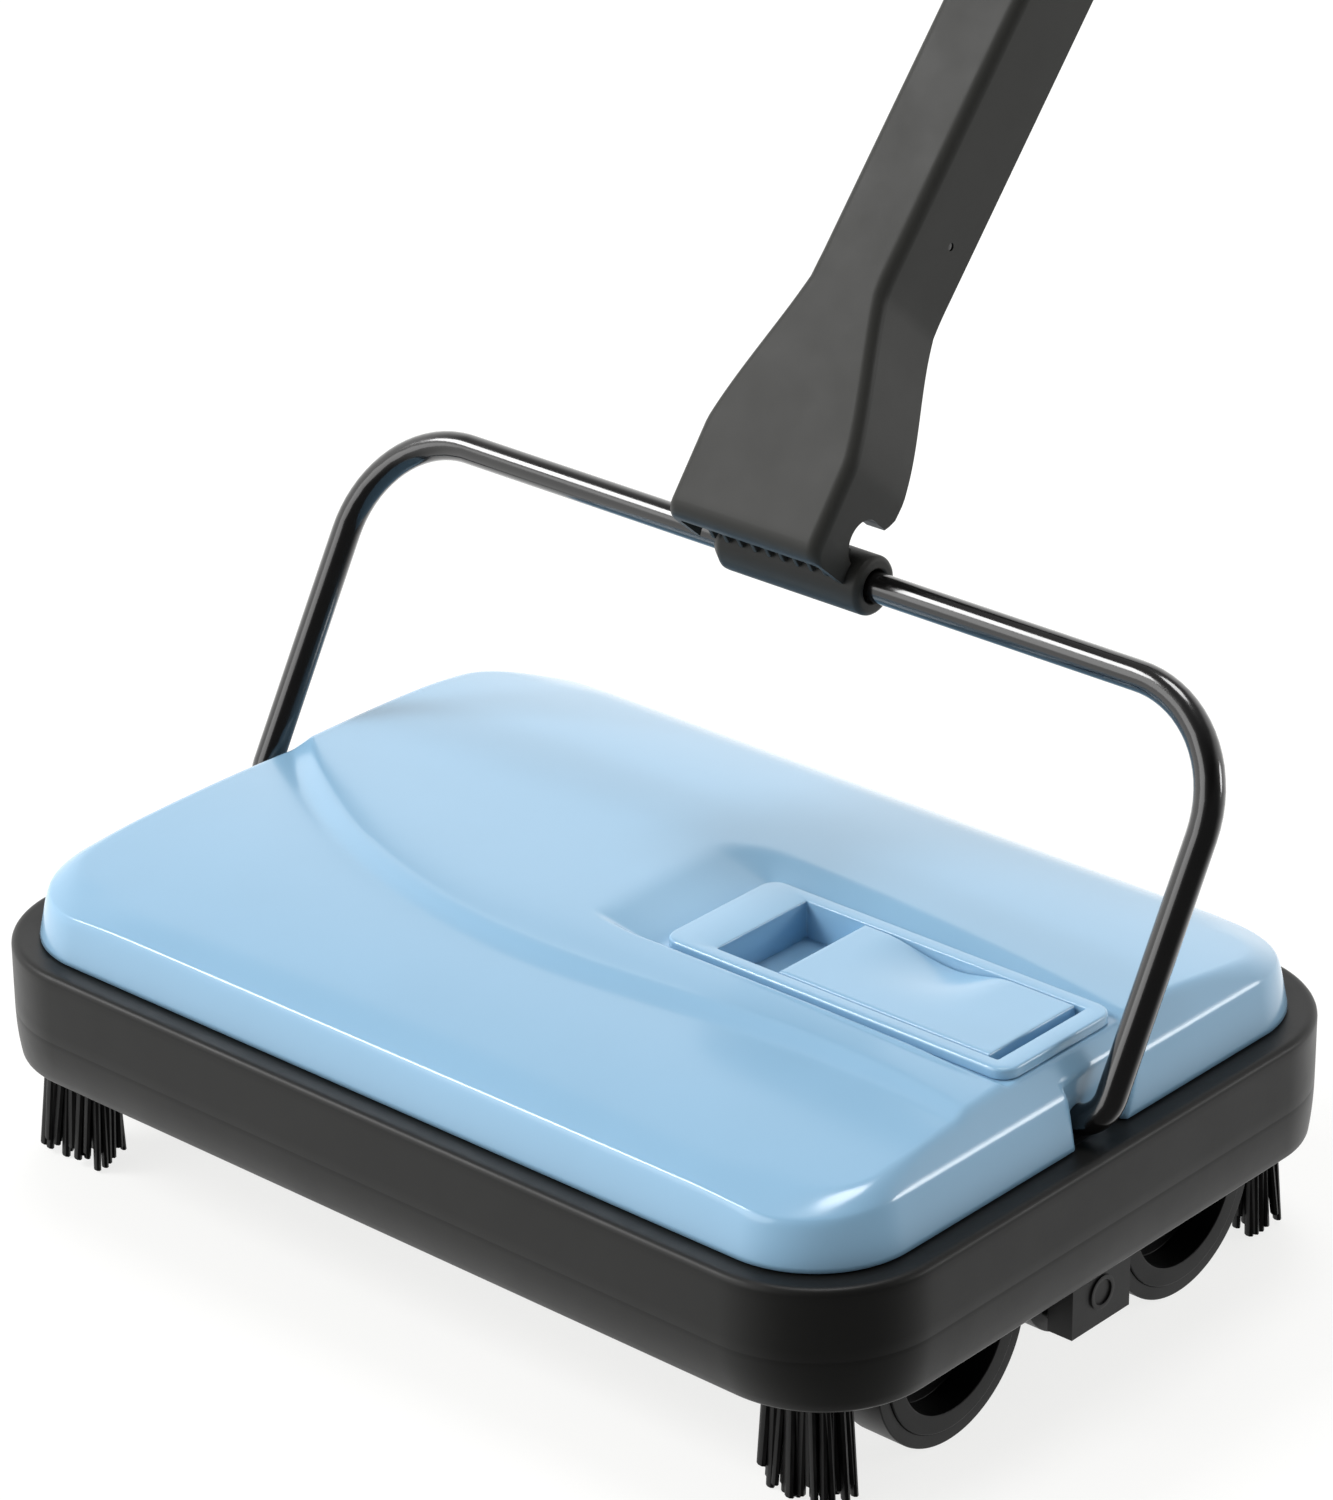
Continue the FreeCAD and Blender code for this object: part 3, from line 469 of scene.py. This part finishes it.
def deck_height(x, y):
    """Top of the cover inside the shoulders: a front deck and a rear plateau joined by the band."""
    across = (x / 132.0) ** 2
    deck = DECK - DECK_BOW * (y - DECK_TOP_Y) ** 2 - 1.4 * across
    plateau = PLATEAU - 3.0 * across - droop(10.0 - y, 54.0, 0.8) - droop(y - 25.0, 60.0, 6.1)
    rise = ramp(0.5 + band_distance(x, y) / (2 * BAND_HALF))
    return deck + (plateau - deck) * rise


def shoulder_height(x, y, inset):
    """Side wall and shoulder of the cover, from the inset inside its outline."""
    ax, ay = np.abs(x) - (COVER_X - COVER_R), np.abs(y) - (COVER_Y - COVER_R)
    corner = (ax > 0) & (ay > 0)
    reach = np.hypot(ax, ay) + 1e-9
    to_x = np.where(corner, (ax / reach) ** 2, np.where(ax > ay, 1.0, 0.0))
    slope = to_x * END_SLOPE + (1 - to_x) * np.where(y < 0, FRONT_SLOPE, REAR_SLOPE)
    crest = to_x * END_CREST + (1 - to_x) * np.where(y < 0, FRONT_CREST, REAR_CREST)
    return soft_min(WALL_FOOT + WALL_SLOPE * inset, crest + slope * (inset - CREASE), CREASE_SOFT)


def recess_height(x, y):
    """Bowl round the latch plate: a long ramp on the left, a wall behind and a gutter in front."""
    left = np.clip((PLATE_LO.x - 0.8 - x) / LEFT_RUN, 0, None)
    back = np.clip((y - PLATE_HI.y - 0.6) / BACK_RUN, 0, None)
    front = np.clip((PLATE_LO.y - 0.7 - y) / FRONT_RUN, 0, None)
    return RECESS_FLOOR + RECESS_RISE * np.sqrt(left ** 2 + back ** 2 + front ** 2)


def cover_height(x, y, inset):
    """Outer face of the cover: shoulders, deck and plateau, with the recess sunk into them."""
    near_end = soft_step((np.abs(x) - COVER_X + 46.0) / 32.0)
    near_side = soft_step((np.abs(y) - COVER_Y + 46.0) / 32.0)
    corner_soft = 1.8 + 3.7 * near_end * near_side
    z = soft_min(shoulder_height(x, y, inset), deck_height(x, y), corner_soft)
    rim_soft = 0.35 + 0.45 * soft_step((PLATE_LO.x + 1.0 - x) / 8.0)
    z = soft_min(z, recess_height(x, y), rim_soft)
    along = soft_step((x - PLATE_LO.x + 5.0) / 8.0) * soft_step((PLATE_HI.x - 6.0 - x) / 22.0)
    before = PLATE_LO.y - y
    lip, gutter = ridge(before, 2.7, 0.5, 0.8), ridge(before, 0.9, 1.1, 0.75)
    return z + along * (lip - gutter)


def grid_lines(half, insets, inner):
    """Grid lines across the cover: the shoulder's insets at both ends and the inner lines between."""
    left = [-half + d for d in insets]
    right = [half - d for d in reversed(insets)]
    return np.array(left + inner + right)


def cover_grid():
    """Plan positions and insets of the cover's grid; its outer lines follow the rounded outline.

    The lines are closest together at the crease, the band and the latch plate's edges.
    """
    insets = graded(0.0, 2.0, 0.25) + graded(2.15, 3.2, 0.15) + graded(3.5, 13.4, 0.7) + [14.0]
    insets += graded(15.2, COVER_R, 1.2)
    inner_x = graded(-111.6, -1.0, 2.0) + graded(0.0, HOLE_X0, 1.0) + graded(35.5, 112.0, 2.0)
    inner_y = graded(-69.5, -29.0, 1.5) + graded(-27.8, -20.6, 0.5) + [-HOLE_Y]
    inner_y += graded(-19.2, 19.2, 0.9) + [HOLE_Y] + graded(20.8, 36.0, 0.9) + graded(37.5, 70.0, 1.5)
    lines_x = grid_lines(COVER_X, insets, inner_x)
    lines_y = grid_lines(COVER_Y, insets, inner_y)
    u, v = np.meshgrid(lines_x, lines_y, indexing="ij")
    inset_x, inset_y = COVER_X - np.abs(u), COVER_Y - np.abs(v)
    inset = np.minimum(inset_x, inset_y)
    far = np.maximum(inset_x, inset_y)
    radius = COVER_R - inset
    corner = (far < COVER_R) & (radius > 1e-6)
    share = np.clip((far - inset) / np.where(corner, radius, 1.0), 0, 1)
    swing = np.radians(45.0 * (1 - share))
    near_x = inset_x <= inset_y
    to_x = np.where(near_x, np.cos(swing), np.sin(swing))
    to_y = np.where(near_x, np.sin(swing), np.cos(swing))
    x = np.where(corner, np.sign(u) * (COVER_X - COVER_R + radius * to_x), u)
    y = np.where(corner, np.sign(v) * (COVER_Y - COVER_R + radius * to_y), v)
    return x, y, inset


def cut_notches(x, y, z):
    """Push the end walls in where the bail's arms stand and swing."""
    rear = NOTCH_REAR_LOW + NOTCH_REAR_SLOPE * np.clip(z, 0, None)
    inside = soft_step((y - NOTCH_FRONT + 0.5) / 1.4) * soft_step((rear - y + 0.8) / 1.8)
    over = np.clip(np.abs(x) - NOTCH_X, 0, None)
    return x - np.sign(x) * over * inside


def top_cover():
    """Thin blue shell over the body, open under the latch plate."""
    x, y, inset = cover_grid()
    z = cover_height(x, y, inset)
    x = cut_notches(x, y, z)
    cell = grid_cells(x.shape)[1]
    mid_x, mid_y = x.ravel()[cell].mean(axis=-1), y.ravel()[cell].mean(axis=-1)
    hole = (mid_x > HOLE_X0) & (mid_x < HOLE_X1) & (np.abs(mid_y) < HOLE_Y)
    points = np.column_stack([x.ravel(), y.ravel(), z.ravel() + LEDGE])
    piece = mesh_piece("cover_shell", points, cell[~hole], "cover_blue", "body")
    shell = piece.modifiers.new("wall", "SOLIDIFY")
    shell.thickness = 2.0 * MM
    shell.offset = -1.0
    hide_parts("top_cover")


# ---- latch slider ---------------------------------------------------------------------------
def slider():
    """Thumb slide with a soft scoop that deepens towards its far edge."""
    lo, hi = box_mm("release_slider")
    scoop_x, scoop_left, scoop_right, dip = lo.x + 29.0, 23.0, 19.0, 2.9
    edge = 0.5

    def lines(start, end):
        close = (0.0, 0.12, 0.28)
        middle = graded(start + edge, end - edge, 1.0)
        return [start + d for d in close] + middle + [end - d for d in reversed(close)]

    x, y = np.meshgrid(lines(lo.x, hi.x), lines(lo.y, hi.y), indexing="ij")
    reach = np.where(x < scoop_x, (scoop_x - x) / scoop_left, (x - scoop_x) / scoop_right)
    along = np.cos(0.5 * math.pi * np.clip(reach, 0, 1)) ** 2
    across = soft_step((y - lo.y - 3.0) / (hi.y - lo.y - 3.0)) ** 1.5
    rim = np.minimum(np.minimum(x - lo.x, hi.x - x), np.minimum(y - lo.y, hi.y - y))
    fall = edge - np.sqrt(np.clip(edge ** 2 - np.clip(edge - rim, 0, edge) ** 2, 0, None))
    top = hi.z - dip * along * across - fall
    count = x.size
    points = np.concatenate([np.column_stack([x.ravel(), y.ravel(), top.ravel()]),
                             np.column_stack([x.ravel(), y.ravel(), np.full(count, lo.z)])])
    index, cell = grid_cells(x.shape)
    cell = cell.reshape(-1, 4)
    border = np.concatenate([index[:, 0], index[-1, 1:], index[-2::-1, -1], index[0, -2:0:-1]])
    after = np.roll(border, -1)
    sides = np.column_stack([border, after, after + count, border + count])
    faces = np.concatenate([cell, cell[:, ::-1] + count, sides])
    piece = mesh_piece("slider_shell", points, faces, "cover_blue", "latch", 50)
    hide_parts("release_slider")


# ---- solids for cutting and joining ---------------------------------------------------------
def cylinder_x(radius, x0, x1, y, z, sides=48):
    """Points and faces of a rod along X."""
    turn = np.linspace(0, 2 * math.pi, sides, endpoint=False)
    ring = np.column_stack([np.zeros(sides), y + radius * np.cos(turn), z + radius * np.sin(turn)])
    points = np.concatenate([ring + (x0, 0, 0), ring + (x1, 0, 0)])
    faces = [(k, (k + 1) % sides, sides + (k + 1) % sides, sides + k) for k in range(sides)]
    return points, faces + [tuple(range(sides)), tuple(reversed(range(sides, 2 * sides)))]


def block(x0, x1, y0, y1, z0, z1):
    """Points and faces of a box."""
    points = np.array([(x, y, z) for z in (z0, z1) for y in (y0, y1) for x in (x0, x1)], float)
    faces = [(0, 1, 3, 2), (4, 6, 7, 5), (0, 4, 5, 1), (2, 3, 7, 6), (0, 2, 6, 4), (1, 5, 7, 3)]
    return points, faces


def lathe_x(profile):
    """Solid of revolution about the X axis from a closed loop of (x, radius)."""
    sides = 56
    turn = np.linspace(0, 2 * math.pi, sides, endpoint=False)
    rings = [np.column_stack([np.full(sides, x), r * np.cos(turn), r * np.sin(turn)]) for x, r in profile]
    return skin(rings, True)


def joined(parts):
    """One list of points and faces from several."""
    points, faces, first = [], [], 0
    for part_points, part_faces in parts:
        points.append(np.asarray(part_points, float))
        faces += [tuple(first + k for k in face) for face in part_faces]
        first += len(part_points)
    return np.concatenate(points), faces


def carve(piece, tools, mapper):
    """Join or cut helper solids in turn, then bake the result and delete the helpers."""
    helpers = []
    for operation, (points, faces) in tools:
        helper = bpy.data.objects.new("helper", new_mesh("helper", points, faces, mapper))
        scene.collection.objects.link(helper)
        step = piece.modifiers.new("carve", "BOOLEAN")
        step.operation = operation
        step.solver = "EXACT"
        step.object = helper
        helpers.append(helper)
    bpy.context.view_layer.update()
    result = bpy.data.meshes.new_from_object(piece.evaluated_get(bpy.context.evaluated_depsgraph_get()))
    piece.modifiers.clear()
    piece.data = result
    for helper in helpers:
        bpy.data.objects.remove(helper)


# ---- latch plate ----------------------------------------------------------------------------
def latch_plate():
    """Latch plate with rounded rims and the tub under it that holds the slide."""
    top, under, tub_foot, pocket_floor = PLATE_HI.z, PLATE_HI.z - 3.0, PLATE_HI.z - 12.5, PLATE_HI.z - 10.5
    mid = 0.5 * (PLATE_LO.x + PLATE_HI.x)
    half_x, half_y, wall = 0.5 * (PLATE_HI.x - PLATE_LO.x), PLATE_HI.y, 2.0
    slot_lo, slot_hi, slot_y = PLATE_LO.x + 15.0, PLATE_HI.x - 6.0, 17.3
    slot_mid, slot_half = 0.5 * (slot_lo + slot_hi), 0.5 * (slot_hi - slot_lo)
    corner_r, slot_r, rim_r, slot_rim_r, chamfer = 5.0, 0.5, 0.8, 0.4, 0.3
    rings = []

    def ring(x, a, b, radius, z):
        outline = rounded_rectangle(a, b, radius, 8, 12)
        rings.append(np.column_stack([outline[:, 0] + x, outline[:, 1], np.full(len(outline), z)]))

    for z in (tub_foot, under):
        ring(slot_mid, slot_half + wall, slot_y + wall, wall, z)
    ring(mid, half_x - chamfer, half_y - chamfer, corner_r - chamfer, under)
    ring(mid, half_x, half_y, corner_r, under + chamfer)
    for degrees in (0, 22.5, 45, 67.5, 90):
        turn = math.radians(degrees)
        inset, drop = rim_r * (1 - math.cos(turn)), rim_r * (1 - math.sin(turn))
        ring(mid, half_x - inset, half_y - inset, corner_r - inset, top - drop)
    for degrees in (90, 60, 30, 0):
        turn = math.radians(degrees)
        inset, drop = slot_rim_r * (1 - math.cos(turn)), slot_rim_r * (1 - math.sin(turn))
        ring(slot_mid, slot_half + inset, slot_y + inset, slot_r + inset, top - drop)
    ring(slot_mid, slot_half, slot_y, slot_r, pocket_floor)
    points, faces = skin(rings, False)
    count, last = len(rings[0]), (len(rings) - 1) * len(rings[0])
    faces += [tuple(range(count)), tuple(last + k for k in range(count))]
    piece = mesh_piece("latch_plate", points, faces, "cover_blue", "body")
    spring_lug = block(64.0, 66.5, -5.0, 5.0, PLATE_LO.z, tub_foot + 0.1)
    lug_hole = cylinder_x(2.1, 60.0, 70.0, 0.0, PLATE_LO.z + 4.5, 24)
    floor_slot = block(80.0, 106.5, -4.5, 4.5, tub_foot - 1.0, pocket_floor + 1.0)
    carve(piece, [("UNION", spring_lug), ("DIFFERENCE", floor_slot), ("DIFFERENCE", lug_hole)], place)
    piece.data.shade_smooth()
    piece.data.set_sharp_from_angle(angle=math.radians(40))
    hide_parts("latch_bezel")


# ---- neck -----------------------------------------------------------------------------------
NECK_W, NECK_FOOT_W = 12.3, 25.0                 # half widths of the box section and of its foot
NECK_FRONT, NECK_REAR = -28.7, -1.0
NECK_TOP, NECK_WALL = 226.0, 2.0
NECK_FOOT, NECK_FOOT_R = -3.6, 4.0               # lowest edge, and the rounding of the front face above it
NECK_KINK = 70.0                                 # the front face turns here
CORNER_R = 3.4                                   # rounded front edges
HOOK_Y, HOOK_Z, HOOK_R = -6.6, 8.2, 6.4          # hooked notch in each side wall
PIN_R, PIN_Y, PIN_Z = 1.1, -10.7, 88.0
COLLAR_ROOM = 8.4                                # radius left free for the collar


def neck_width(z):
    """Half width of the neck: a straight foot, an S-shaped flare and the slim shaft."""
    flare = soft_step((74.0 - z) / 53.0)
    straight = np.clip((66.0 - z) / 43.0, 0, 1)
    return NECK_W + (NECK_FOOT_W - NECK_W) * (0.45 * flare + 0.55 * straight)


def neck_front(z):
    """Front face of the neck: straight above the kink, and turned in towards the bail bar below it."""
    share = np.clip((NECK_KINK - z) / (NECK_KINK + 2.0), 0, 1.05)
    return NECK_FRONT + 4.2 * share


def neck_rear(z):
    """Rear edge of the side walls: it swells behind the bail bar and turns in at the notch."""
    swell = 2.0 * soft_step((62.0 - z) / 34.0)
    turn_in = 2.6 * soft_step((19.0 - z) / 5.0) ** 2
    return NECK_REAR + swell - turn_in


def neck_section(z, inset, lift):
    """U-shaped section, from the right rear edge round the front to the left rear edge."""
    half = float(neck_width(z)) - inset
    front = float(neck_front(z)) + inset + lift
    rear = float(neck_rear(z))
    radius = max(0.6, CORNER_R - inset)
    line = [(half, rear), (half, 0.7 * rear + 0.3 * front), (half, 0.35 * rear + 0.65 * front)]
    for step in range(9):
        turn = math.radians(90.0 * step / 8)
        line.append((half - radius + radius * math.cos(turn), front + radius - radius * math.sin(turn)))
    for share in (0.66, 0.33):
        line.append((half * share, front))
    section = line + [(0.0, front)] + [(-a, b) for a, b in reversed(line)]
    return np.array([(a, b, z) for a, b in section])


def neck():
    """Box-section neck with rounded front edges, a flared foot and a hooked notch in each side."""
    stations = []
    for degrees in range(0, 91, 15):
        turn = math.radians(degrees)
        stations.append((NECK_FOOT + NECK_FOOT_R * (1 - math.cos(turn)), NECK_FOOT_R * (1 - math.sin(turn))))
    heights = graded(2.0, 80.0, 2.0) + graded(90.0, NECK_TOP - 0.8, 15.0) + [NECK_TOP]
    stations += [(z, 0.0) for z in heights]
    rings = []
    for z, lift in stations:
        rings.append(np.concatenate([neck_section(z, 0.0, lift), neck_section(z, NECK_WALL, lift)[::-1]]))
    points, faces = skin(rings, False)
    count, half = len(rings[0]), len(rings[0]) // 2
    last = (len(rings) - 1) * count
    for base in (0, last):
        for k in range(half - 1):
            faces.append((base + k, base + k + 1, base + count - 2 - k, base + count - 1 - k))
    piece = mesh_piece("neck_shell", points, faces, "neck_grey", "handle", None, place_on_handle)
    outside, reach = NECK_FOOT_W - 0.5, 30.0
    tools = []
    for side in (1, -1):
        lining = cylinder_x(HOOK_R + 2.2, side * outside, side * (outside - 6.0), HOOK_Y, HOOK_Z)
        tools.append(("UNION", lining))
    tools.append(("DIFFERENCE", cylinder_x(HOOK_R, -reach, reach, HOOK_Y, HOOK_Z)))
    tools.append(("DIFFERENCE", block(-reach, reach, HOOK_Y, 12.0, HOOK_Z - 4.8, HOOK_Z + 6.2)))
    tools.append(("DIFFERENCE", cylinder_x(COLLAR_ROOM, -reach, reach, 0.0, 0.0)))
    tools.append(("DIFFERENCE", cylinder_x(PIN_R, -reach, reach, PIN_Y, PIN_Z, 20)))
    carve(piece, tools, place_on_handle)
    piece.data.shade_smooth()
    soften(piece, 0.45, 38.0)
    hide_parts("neck_front_shell")


# ---- collar ---------------------------------------------------------------------------------
def collar():
    """Snap collar on the bail bar with rounded lips, and the ribbed web under the neck."""
    left, right, barrel_r, nose_r, bore_r, lip_round = -17.0, 29.0, 8.0, 5.9, 4.35, 1.6
    web_right, web_front, web_rear, web_under, web_top = 22.0, -21.4, -6.6, 4.2, 6.0
    ribs, rib_step, rib_wide, rib_top = 9, 4.7, 1.3, 4.6
    lip = []
    for degrees in (0, 22, 45, 68, 90):
        turn = math.radians(degrees)
        lip.append((right - lip_round * (1 - math.sin(turn)), barrel_r - lip_round * (1 - math.cos(turn))))
    bore = [(right, bore_r + 0.7), (right - 0.7, bore_r), (left - 3.5, bore_r)]
    nose = [(left - 3.5, nose_r - 0.8), (left - 3.1, nose_r)]
    shoulder = [(left - 0.4, barrel_r - 0.1), (left + 0.8, barrel_r)]
    barrel = lathe_x(lip + bore + nose + shoulder)
    parts = [barrel, block(left, web_right, web_front, web_rear, web_under, web_top)]
    outline = [(web_front, 1.4), (-8.0, -3.2), (web_rear, rib_top), (web_front, rib_top)]
    faces = [(0, 1, 2, 3), (7, 6, 5, 4)] + [(k, (k + 1) % 4, 4 + (k + 1) % 4, 4 + k) for k in range(4)]
    for rib in range(ribs):
        x = left - 2.0 + rib_step * rib
        parts.append(([(x + side, y, z) for side in (0.0, rib_wide) for y, z in outline], faces))
    points, faces = joined(parts)
    piece = mesh_piece("collar_shell", points, faces, "neck_grey", "handle", 35, place_on_handle)
    soften(piece, 0.25, 45.0)
    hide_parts("bar_collar")


# ---- bristles -------------------------------------------------------------------------------
def strands(roots, tips, bends, radii, sides, steps=4, taper=0.75, flat=1.0):
    """Strands from roots to tips, each bowed by its bend vector; flat is their thickness over their width."""
    roots, tips, bends = (np.asarray(a, float) for a in (roots, tips, bends))
    points, faces = [], []
    for root, tip, bend, radius in zip(roots, tips, bends, radii):
        direction = (tip - root) / np.linalg.norm(tip - root)
        side = np.cross(direction, (0.31, 0.95, 0.05))
        side /= np.linalg.norm(side)
        other = np.cross(direction, side)
        first = len(points)
        for step in range(steps + 1):
            t = step / steps
            centre = root + (tip - root) * t + bend * math.sin(math.pi * 0.5 * t) * t
            size = radius * (1 - (1 - taper) * t)
            for k in range(sides):
                angle = 2 * math.pi * k / sides
                points.append(centre + size * (math.cos(angle) * side + flat * math.sin(angle) * other))
        for step in range(steps):
            a, b = first + step * sides, first + (step + 1) * sides
            for k in range(sides):
                m = (k + 1) % sides
                faces.append((a + k, a + m, b + m, b + k))
        faces.append(tuple(first + k for k in reversed(range(sides))))
        faces.append(tuple(first + steps * sides + k for k in range(sides)))
    return np.array(points), faces


def corner_tuft(name, seed):
    """Corner brush: coarse ragged strands that splay a little towards the floor."""
    random = np.random.default_rng(seed)
    lo, hi = box_mm(name)
    middle = 0.5 * (lo + hi)
    rows, columns, root_z = 5, 11, 31.0
    root_x = middle.x - math.copysign(1.0, middle.x)
    root_y = middle.y - math.copysign(0.5, middle.y)
    roots, tips, bends, radii = [], [], [], []
    for row in range(rows):
        for column in range(columns):
            u = (column + 0.5) / columns * 2 - 1 + random.uniform(-0.05, 0.05)
            v = (row + 0.5) / rows * 2 - 1 + random.uniform(-0.12, 0.12)
            short = abs(random.normal(0.0, 1.9)) + (3.0 if random.random() < 0.15 else 0.0)
            roots.append((root_x + 9.4 * u, root_y + 4.8 * v, root_z))
            tip_x = middle.x + 11.0 * u + random.normal(0, 0.7)
            tip_y = middle.y + 6.6 * v + random.normal(0, 0.5)
            tips.append((tip_x, tip_y, lo.z + 0.15 + short))
            bends.append((random.normal(0, 0.35), random.normal(0, 0.35), 0.0))
            radii.append(random.uniform(1.4, 1.95))
    points, faces = strands(roots, tips, bends, radii, sides=8, taper=0.85, flat=0.62)
    points[:, 0] = np.clip(points[:, 0], lo.x, hi.x)
    points[:, 1] = np.clip(points[:, 1], lo.y, hi.y)
    piece = mesh_piece(name + "_strands", points, faces, "bristle_black", "body", 40)
    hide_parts(name)


def brush_rows():
    """Four helical rows of bristles on the roll."""
    random = np.random.default_rng(7)
    lo, hi = box_mm("brush_bristles")
    tip_r, half = 0.5 * (hi.z - lo.z), hi.x
    core_lo, core_hi = box_mm("brush_core")
    core_r = 0.5 * (core_hi.z - core_lo.z)
    stations, twist, lane_angle = 118, 90.0, 0.075
    roots, tips, bends, radii = [], [], [], []
    for start in (0.0, 90.0, 180.0, 270.0):
        for station in range(stations):
            share = (station + 0.5) / stations
            for lane in (-1, 0, 1):
                x = -half + 2 * half * share + random.uniform(-0.4, 0.4)
                angle = math.radians(start + twist * share) + lane * lane_angle + random.normal(0, 0.02)
                length = tip_r - abs(random.normal(0, 0.5)) - 0.2
                out = np.array([0.0, math.cos(angle), math.sin(angle)])
                middle = np.array([x, AXLE_Y, AXLE_Z])
                roots.append(middle + out * (core_r - 0.6))
                tips.append(middle + out * length + (random.normal(0, 0.5), 0, 0))
                bends.append((random.normal(0, 0.3), 0.0, 0.0))
                radii.append(random.uniform(0.42, 0.55))
    points, faces = strands(roots, tips, bends, radii, sides=5, steps=3)
    piece = mesh_piece("brush_strands", points, faces, "bristle_black", "brush", 40)
    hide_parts("brush_bristles")


# ---- studio ---------------------------------------------------------------------------------
def camera():
    """Long lens from the front right, a little above."""
    azimuth, elevation, roll = (math.radians(a) for a in (41.95, 25.38, -0.604))
    forward = Vector((-math.sin(azimuth) * math.cos(elevation), math.cos(azimuth) * math.cos(elevation),
                      -math.sin(elevation)))
    level = Vector((math.cos(azimuth), math.sin(azimuth), 0.0))
    rise = level.cross(forward)
    right = level * math.cos(roll) + rise * math.sin(roll)
    up = rise * math.cos(roll) - level * math.sin(roll)
    data = bpy.data.cameras.new("camera")
    data.sensor_width = 36.0
    data.lens = 136.99
    data.shift_x = 0.01517
    data.shift_y = 0.00233
    data.clip_end = 20.0
    eye = bpy.data.objects.new("camera", data)
    scene.collection.objects.link(eye)
    turn = Matrix((right, up, -forward)).transposed()
    stand = Vector((0.8714, -0.9729 + BODY_MID_Y, 0.7440))
    eye.matrix_world = Matrix.Translation(stand) @ turn.to_4x4()
    scene.camera = eye


def soft_sun(name, towards, strength, width):
    """Distant round softbox: towards points from the object to it, width is its angle in degrees."""
    data = bpy.data.lights.new(name, "SUN")
    data.energy = strength
    data.angle = math.radians(width)
    lamp = bpy.data.objects.new(name, data)
    lamp.rotation_mode = "QUATERNION"
    lamp.rotation_quaternion = (-Vector(towards)).to_track_quat("-Z", "Y")
    scene.collection.objects.link(lamp)


def floor():
    """Pale floor.  It glows faintly, to stay near white, and black parts do not mirror it."""
    bpy.ops.mesh.primitive_plane_add(size=30.0)
    plane = bpy.context.object
    plane.name = "floor"
    material = bpy.data.materials.new("pale_floor")
    n = Nodes(material)
    tone = n.remap(n.noise(3.0), 0.0, 1.0)
    n.set(n.shader, "Base Color", n.mix(tone, (0.19, 0.19, 0.188, 1.0), (0.21, 0.21, 0.208, 1.0)))
    n.shader.inputs["Roughness"].default_value = 0.8
    n.shader.inputs["Emission Color"].default_value = (1.0, 1.0, 0.99, 1.0)
    n.shader.inputs["Emission Strength"].default_value = 0.80
    plane.data.materials.append(material)
    plane.visible_glossy = False


def sky():
    """Surroundings that are bright near the horizon, dim overhead and dark towards the front right."""
    world = bpy.data.worlds.new("studio")
    world.use_nodes = True
    tree = world.node_tree
    background = tree.nodes["Background"]
    background.inputs["Color"].default_value = (1.0, 0.998, 0.99, 1.0)
    direction = tree.nodes.new("ShaderNodeTexCoord").outputs["Generated"]

    def fade(value, start, end, low, high):
        node = tree.nodes.new("ShaderNodeMapRange")
        node.interpolation_type = "SMOOTHSTEP"
        for name, number in (("From Min", start), ("From Max", end), ("To Min", low), ("To Max", high)):
            node.inputs[name].default_value = number
        tree.links.new(value, node.inputs["Value"])
        return node.outputs["Result"]

    split = tree.nodes.new("ShaderNodeSeparateXYZ")
    tree.links.new(direction, split.inputs[0])
    overhead = fade(split.outputs["Z"], 0.51, 0.80, 1.25, 0.30)
    along = tree.nodes.new("ShaderNodeVectorMath")
    along.operation = "DOT_PRODUCT"
    tree.links.new(direction, along.inputs[0])
    along.inputs[1].default_value = (0.85, -0.53, 0.0)
    dark_side = fade(along.outputs["Value"], -0.22, 0.72, 1.0, 0.08)
    both = tree.nodes.new("ShaderNodeMath")
    both.operation = "MULTIPLY"
    tree.links.new(overhead, both.inputs[0])
    tree.links.new(dark_side, both.inputs[1])
    tree.links.new(both.outputs[0], background.inputs["Strength"])
    scene.world = world


def studio():
    """Pale floor, near-white surroundings and large soft lights."""
    floor()
    sky()
    soft_sun("key", (-0.604, -0.428, 0.671), 1.75, 22.0)
    soft_sun("front", (-0.35, -0.85, 0.36), 0.75, 40.0)
    soft_sun("top", (-0.14, 0.21, 0.96), 0.95, 20.0)
    soft_sun("back", (0.692, 0.672, 0.26), 0.55, 16.0)
    scene.view_settings.view_transform = "Standard"
    scene.view_settings.look = "None"


# ---- build ----------------------------------------------------------------------------------
for node_name in nodes:
    dress(node_name, SLOT_OF[node_name])
bumper()
top_cover()
for seed, corner in enumerate(("front_right", "front_left", "rear_right", "rear_left"), 11):
    corner_tuft("corner_tuft_" + corner, seed)
brush_rows()
latch_plate()
slider()
neck()
collar()
camera()
studio()
